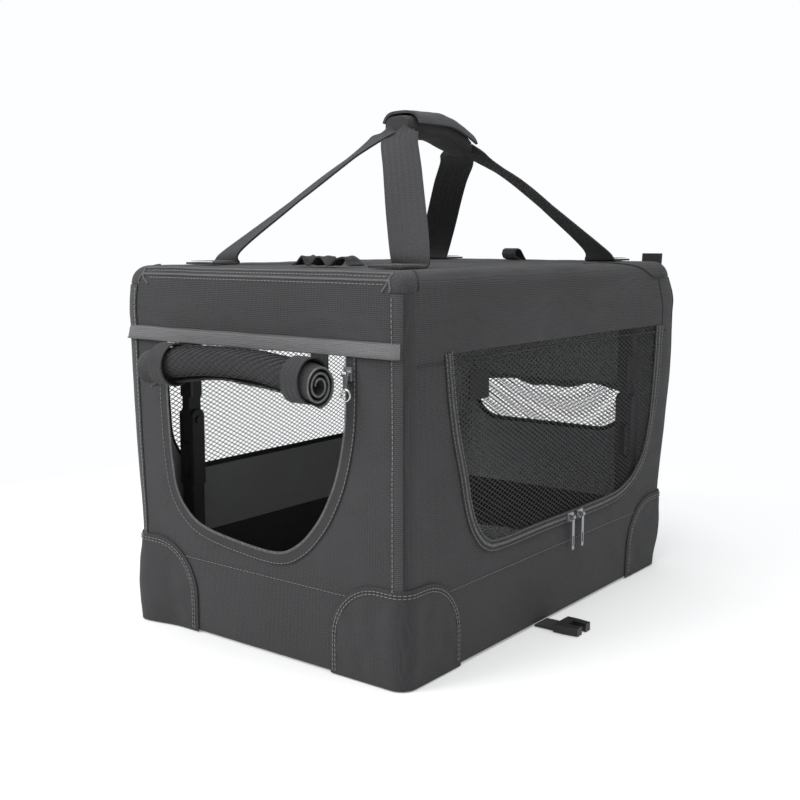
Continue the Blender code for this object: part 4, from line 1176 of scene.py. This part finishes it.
# Handle straps
# Four webbing straps are sewn flat on the roof with box stitches. They run up to the padded grip and
# are pinched together in its ends, of which the rear one droops.
webbing_wide = 0.038
webbing_thick = 0.0019
box_wide = 0.030
box_near = 0.005
box_long = 0.026
box_z = 0.3634
strap_foot_y = 0.1165
strap_foot_z = 0.3614
strap_tail = 0.036
strap_flat_share = 0.28
grip_low_x, grip_high_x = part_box("grip_pad")[0][0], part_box("grip_pad")[1][0]
grip_middle = (grip_low_x + grip_high_x) / 2
grip_long = grip_high_x - grip_low_x
grip_z = 0.5010
grip_hang = 0.0155


def grip_droop(x):
    """How far the grip hangs down at a place along it."""
    share = max(0.0, min(1.0, (x - grip_middle + 0.004) / (grip_long / 2)))
    return grip_hang * share ** 1.5


for end, x_side, foot_x, bowed in (("front", -1, -0.173, 0.002), ("rear", 1, 0.189, 0.009)):
    for hand, y_side in (("left", 1), ("right", -1)):
        foot = Vector((foot_x, y_side * strap_foot_y, strap_foot_z))
        tail = foot + Vector((x_side * strap_tail, 0, 0))
        top = Vector((grip_middle + x_side * (grip_long / 2 - 0.006), y_side * 0.0085, grip_z - 0.002))
        top.z -= grip_droop(top.x)
        plan = Vector((top.x - foot.x, top.y - foot.y, 0)).normalized()
        lift = foot + plan * 0.007 + Vector((0, 0, 0.012))
        near = top + Vector((x_side * 0.022, y_side * 0.008, -0.016))
        bow = Vector((0, 0, bowed))
        low_part, high_part = lift.lerp(near, 0.35) + bow * 0.6, lift.lerp(near, 0.7) + bow
        points = [tail, tail.lerp(foot, 0.5), foot, lift, low_part, high_part, near + bow * 0.5, top]
        path = curve_through(points, 12)
        flat = Vector((0, 1, 0))
        slanted = Vector((-plan.y, plan.x, 0))
        if slanted.y < 0:
            slanted = -slanted

        def leg_place(s, t):
            """A place on the strap, which twists square to its run and pinches together under the grip."""
            run = s * (len(path) - 1)
            k = min(int(run), len(path) - 2)
            spot = path[k].lerp(path[k + 1], run - k)
            share = max(0.0, (s - strap_flat_share) / (1 - strap_flat_share))
            across = flat.lerp(slanted, min(1.0, 2.2 * share)).lerp(flat, max(0.0, 3.2 * share - 2.2))
            across.normalize()
            pinch = eased((share - 0.86) / 0.13)
            half = webbing_wide / 2 * (1 - 0.50 * pinch)
            wave = 0.0012 * math.sin(share * 9 + t * 3) * share * (1 - share) * 3
            fold = 0.0035 * pinch * math.cos((t - 0.5) * math.tau) + wave
            ahead = (path[k + 1] - path[k]).normalized()
            return spot + across * ((t - 0.5) * 2 * half) + ahead.cross(across) * fold

        bm = spread(90, 14, leg_place, (0.30, webbing_wide))
        strap = made_of(bm, "handle_strap_" + end + "_" + hand, webbing_finish, webbing_thick)
        on_roof(strap, "webbing", "handle_leg_" + end + "_" + hand)
        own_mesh(strap)

        def box_row(from_in, from_side, to_in, to_side):
            """A row of the box stitch, between two places measured on the strap's sewn-down foot."""
            start = Vector((foot.x + x_side * from_in, foot.y + from_side, box_z))
            finish_at = Vector((foot.x + x_side * to_in, foot.y + to_side, box_z))
            return [start.lerp(finish_at, k / 8) for k in range(9)]

        near_in, far_in, edge = box_near, box_near + box_long, box_wide / 2
        rows = [
            box_row(near_in, -edge, near_in, edge),
            box_row(far_in, -edge, far_in, edge),
            box_row(near_in, -edge, far_in, -edge),
            box_row(near_in, edge, far_in, edge),
            box_row(near_in, -edge, far_in, edge),
            box_row(near_in, edge, far_in, -edge),
        ]
        stitches("strap_thread_" + end + "_" + hand, rows, lambda p: Vector((0, 0, 1)), "roof")

# Padded grip and its flap
# A sleeve of padded cloth gathers the four straps in the middle. A flap is sewn along its far side and
# wraps over the top.
grip_half_y = 0.0204
grip_half_z = 0.0116
pad_grey = (0.046, 0.046, 0.048)
pad_finish = woven("grip_cloth", pad_grey, thread=0.0014, contrast=0.22, blotch=0.8)


def grip_ring(x, turn, half_y, half_z):
    """A place on the grip's round section at a point along it."""
    c, s = math.cos(turn), math.sin(turn)
    y = half_y * math.copysign(abs(c) ** 0.75, c)
    z = half_z * math.copysign(abs(s) ** 0.80, s)
    return Vector((x, y, grip_z - grip_droop(x) + z))


def pad_place(s, t):
    """Round the padded grip; its two ends draw in to the webbing."""
    x = grip_low_x + 0.001 + (grip_long - 0.002) * s
    inwards = min(s, 1 - s)
    end_in = math.sin(inwards * 5.0) if inwards < 0.314 else 1.0
    swell = 0.72 + 0.28 * end_in ** 0.5
    soft = 1 + 0.05 * noise.noise(Vector((s * 6, math.cos(t * math.tau) * 2, math.sin(t * math.tau) * 2)))
    return grip_ring(x, t * math.tau, grip_half_y * swell * soft, grip_half_z * swell * soft)


bm = spread(64, 44, pad_place)
bmesh.ops.remove_doubles(bm, verts=bm.verts, dist=0.00002)
bmesh.ops.holes_fill(bm, edges=[e for e in bm.edges if e.is_boundary], sides=0)
bmesh.ops.recalc_face_normals(bm, faces=bm.faces)
pad = made_of(bm, "grip_padding", pad_finish)
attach(pad, "grip")
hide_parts("grip_pad")


def flap_place(s, t):
    """The flap lies over the grip from its far side, and its free edge curls up on the near side."""
    x = grip_low_x + 0.007 + (grip_long - 0.013) * s
    turn = math.radians(8) + t * math.radians(170)
    curl = 0.0022 * t ** 6
    lift = 0.0022 + 0.0014 * math.sin(math.pi * s) + curl + 0.0007 * noise.noise(Vector((s * 7, t * 5, 2)))
    return grip_ring(x, turn, grip_half_y + lift, grip_half_z + lift)


flap_cloth = woven("flap_cloth", (0.066, 0.066, 0.068), thread=0.0014)
flap = made_of(spread(50, 26, flap_place), "grip_flap", flap_cloth, 0.0026)
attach(flap, "grip_wrap")
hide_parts("grip_wrap")

# Small pieces on the roof
# A strip of loose webbing is gathered near the front of the roof, and a loop of webbing stands behind
# the handle. A folded tab is sewn at the back edge.
gather_low, gather_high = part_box("gathered_strap")


def gather_place(s, t):
    """Loose webbing in waves along its length."""
    y = gather_low[1] + (gather_high[1] - gather_low[1]) * s
    wave = 0.5 - 0.5 * math.cos(math.tau * (3 * s + 0.10 * math.sin(s * 9 + t * 2)))
    crease = 0.0022 * noise.noise(Vector((s * 11, t * 2.5, 6.0)))
    x = (gather_low[0] + gather_high[0]) / 2 + (t - 0.5) * (0.0215 - 0.0030 * wave)
    x += 0.0022 * math.sin(s * 14 + 0.6)
    flat_end = min(1.0, s * 12, (1 - s) * 12)
    return Vector((x, y, 0.3614 + (0.0074 * wave + max(-0.0002, crease)) * flat_end))


gather = made_of(spread(80, 8, gather_place, (0.085, 0.021)), "gathered_webbing", webbing_finish, 0.0016)
on_roof(gather, "webbing", "gathered_strap")

stub_y = -0.026
stub_wide = 0.0175
stub_line = (
    (0.1610, 0.3612), (0.1570, 0.3650), (0.1500, 0.3720), (0.1440, 0.3738), (0.1390, 0.3722),
    (0.1372, 0.3680), (0.1400, 0.3640), (0.1480, 0.3618), (0.1560, 0.3614))


def stub_place(s, t):
    """A loop of webbing leaning back, with its fold at the top."""
    run = s * (len(stub_line) - 1)
    k = min(int(run), len(stub_line) - 2)
    part = eased(run - k) * 0.4 + (run - k) * 0.6
    spot = Vector(stub_line[k]).lerp(Vector(stub_line[k + 1]), part)
    return Vector((spot.x, stub_y + (t - 0.5) * stub_wide, spot.y))


stub = made_of(spread(50, 6, stub_place, (0.060, stub_wide)), "roof_pull_loop", webbing_finish, 0.0014)
on_roof(stub, "webbing", "roof_pull_tab")

tab_low, tab_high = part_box("rear_tab")
tab_x = tab_low[0] - lean_x


def tab_place(s, t):
    """A folded tab lying against the back edge, with its free end bent out a little."""
    z = tab_high[2] - 0.001 - s * (tab_high[2] - tab_low[2] - 0.002)
    y = (tab_low[1] + tab_high[1]) / 2 + (t - 0.5) * (tab_high[1] - tab_low[1] - 0.002) + 0.0030 * (s - 0.5)
    return Vector((tab_x + 0.0030 + 0.0012 * math.sin(s * 3.1), y, z))


tab = made_of(spread(24, 10, tab_place, (0.034, 0.026)), "rear_pull_tab", webbing_finish, 0.0036)
on_roof(tab, "webbing", "rear_tab")
rows = []
for inset in (0.004, 0.030):
    z = tab_low[2] + inset
    rows.append([Vector((tab_x + 0.0052, tab_low[1] + 0.003 + 0.020 * k / 8, z)) for k in range(9)])
stitches("rear_tab_thread", rows, lambda p: Vector((1, 0, 0)), "roof")

# Base strap and buckle
# A short strap is hinged on its stitch line at the base, with one half of a side-release buckle lying
# on the floor.
strap_low, strap_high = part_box("base_strap")
strap_inset = 0.0004


def strap_place(s, t):
    """Out over the floor from its hinge line, with a slight rise in its middle."""
    y = strap_high[1] - 0.0006 - s * (strap_high[1] - strap_low[1] - strap_inset)
    x = (strap_low[0] + strap_high[0]) / 2 + (t - 0.5) * (strap_high[0] - strap_low[0] - strap_inset)
    return Vector((x, y, 0.0017 + 0.0003 * math.sin(math.pi * s)))


strap = made_of(spread(20, 10, strap_place, (0.024, 0.025)), "buckle_strap", webbing_finish, 0.0019)
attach(strap, "base_strap")
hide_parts("base_strap")

# Frame and hardware
# The tube rings, kneed posts, knee buttons, floor board, zip sliders and buckle are rigid pieces as
# built; they get their finishes here.


def plain_finish(name, colour, rough, metal=0.0, grain=0.0, clear=0.0):
    """A painted, moulded or metal finish, with a fine grain where one is asked for."""
    finish = bpy.data.materials.new(name)
    finish.use_nodes = True
    tree = finish.node_tree
    shader = tree.nodes["Principled BSDF"]
    shader.inputs["Base Color"].default_value = colour + (1,)
    shader.inputs["Roughness"].default_value = rough
    shader.inputs["Metallic"].default_value = metal
    shader.inputs["Coat Weight"].default_value = clear
    if grain:
        where = tree.nodes.new("ShaderNodeTexCoord")
        mottle = tree.nodes.new("ShaderNodeTexNoise")
        mottle.inputs["Scale"].default_value = 220.0
        mottle.inputs["Detail"].default_value = 4
        bump = tree.nodes.new("ShaderNodeBump")
        bump.inputs["Strength"].default_value = grain
        bump.inputs["Distance"].default_value = 0.0004
        tree.links.new(where.outputs["Object"], mottle.inputs["Vector"])
        tree.links.new(mottle.outputs["Fac"], bump.inputs["Height"])
        tree.links.new(bump.outputs["Normal"], shader.inputs["Normal"])
    return finish


tube_finish = plain_finish("powder_coated_tube", (0.030, 0.030, 0.032), 0.45, grain=0.08)
button_finish = plain_finish("moulded_black_plastic", (0.022, 0.022, 0.023), 0.38, grain=0.05, clear=0.1)
board_finish = plain_finish("floor_board_black", (0.028, 0.028, 0.030), 0.7, grain=0.1)
metal_finish = plain_finish("zip_metal", (0.42, 0.42, 0.43), 0.34, 0.9)
ring_finish = plain_finish("zip_ring_metal", (0.62, 0.62, 0.63), 0.26, 0.95)

finishes = {}
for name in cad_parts:
    if name in ("base_ring", "top_ring") or "_post_" in name:
        finishes[name] = tube_finish
    if name.startswith("knee_button") or name == "buckle_half":
        finishes[name] = button_finish
    if name == "base_board":
        finishes[name] = board_finish
    if name.endswith("_slider"):
        finishes[name] = metal_finish
    if name.endswith("_pull"):
        finishes[name] = ring_finish if name == "front_zip_right_pull" else metal_finish
for name, finish in finishes.items():
    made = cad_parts[name]
    for socket in made.material_slots:
        socket.material = finish
    if not made.material_slots:
        made.data.materials.append(finish)
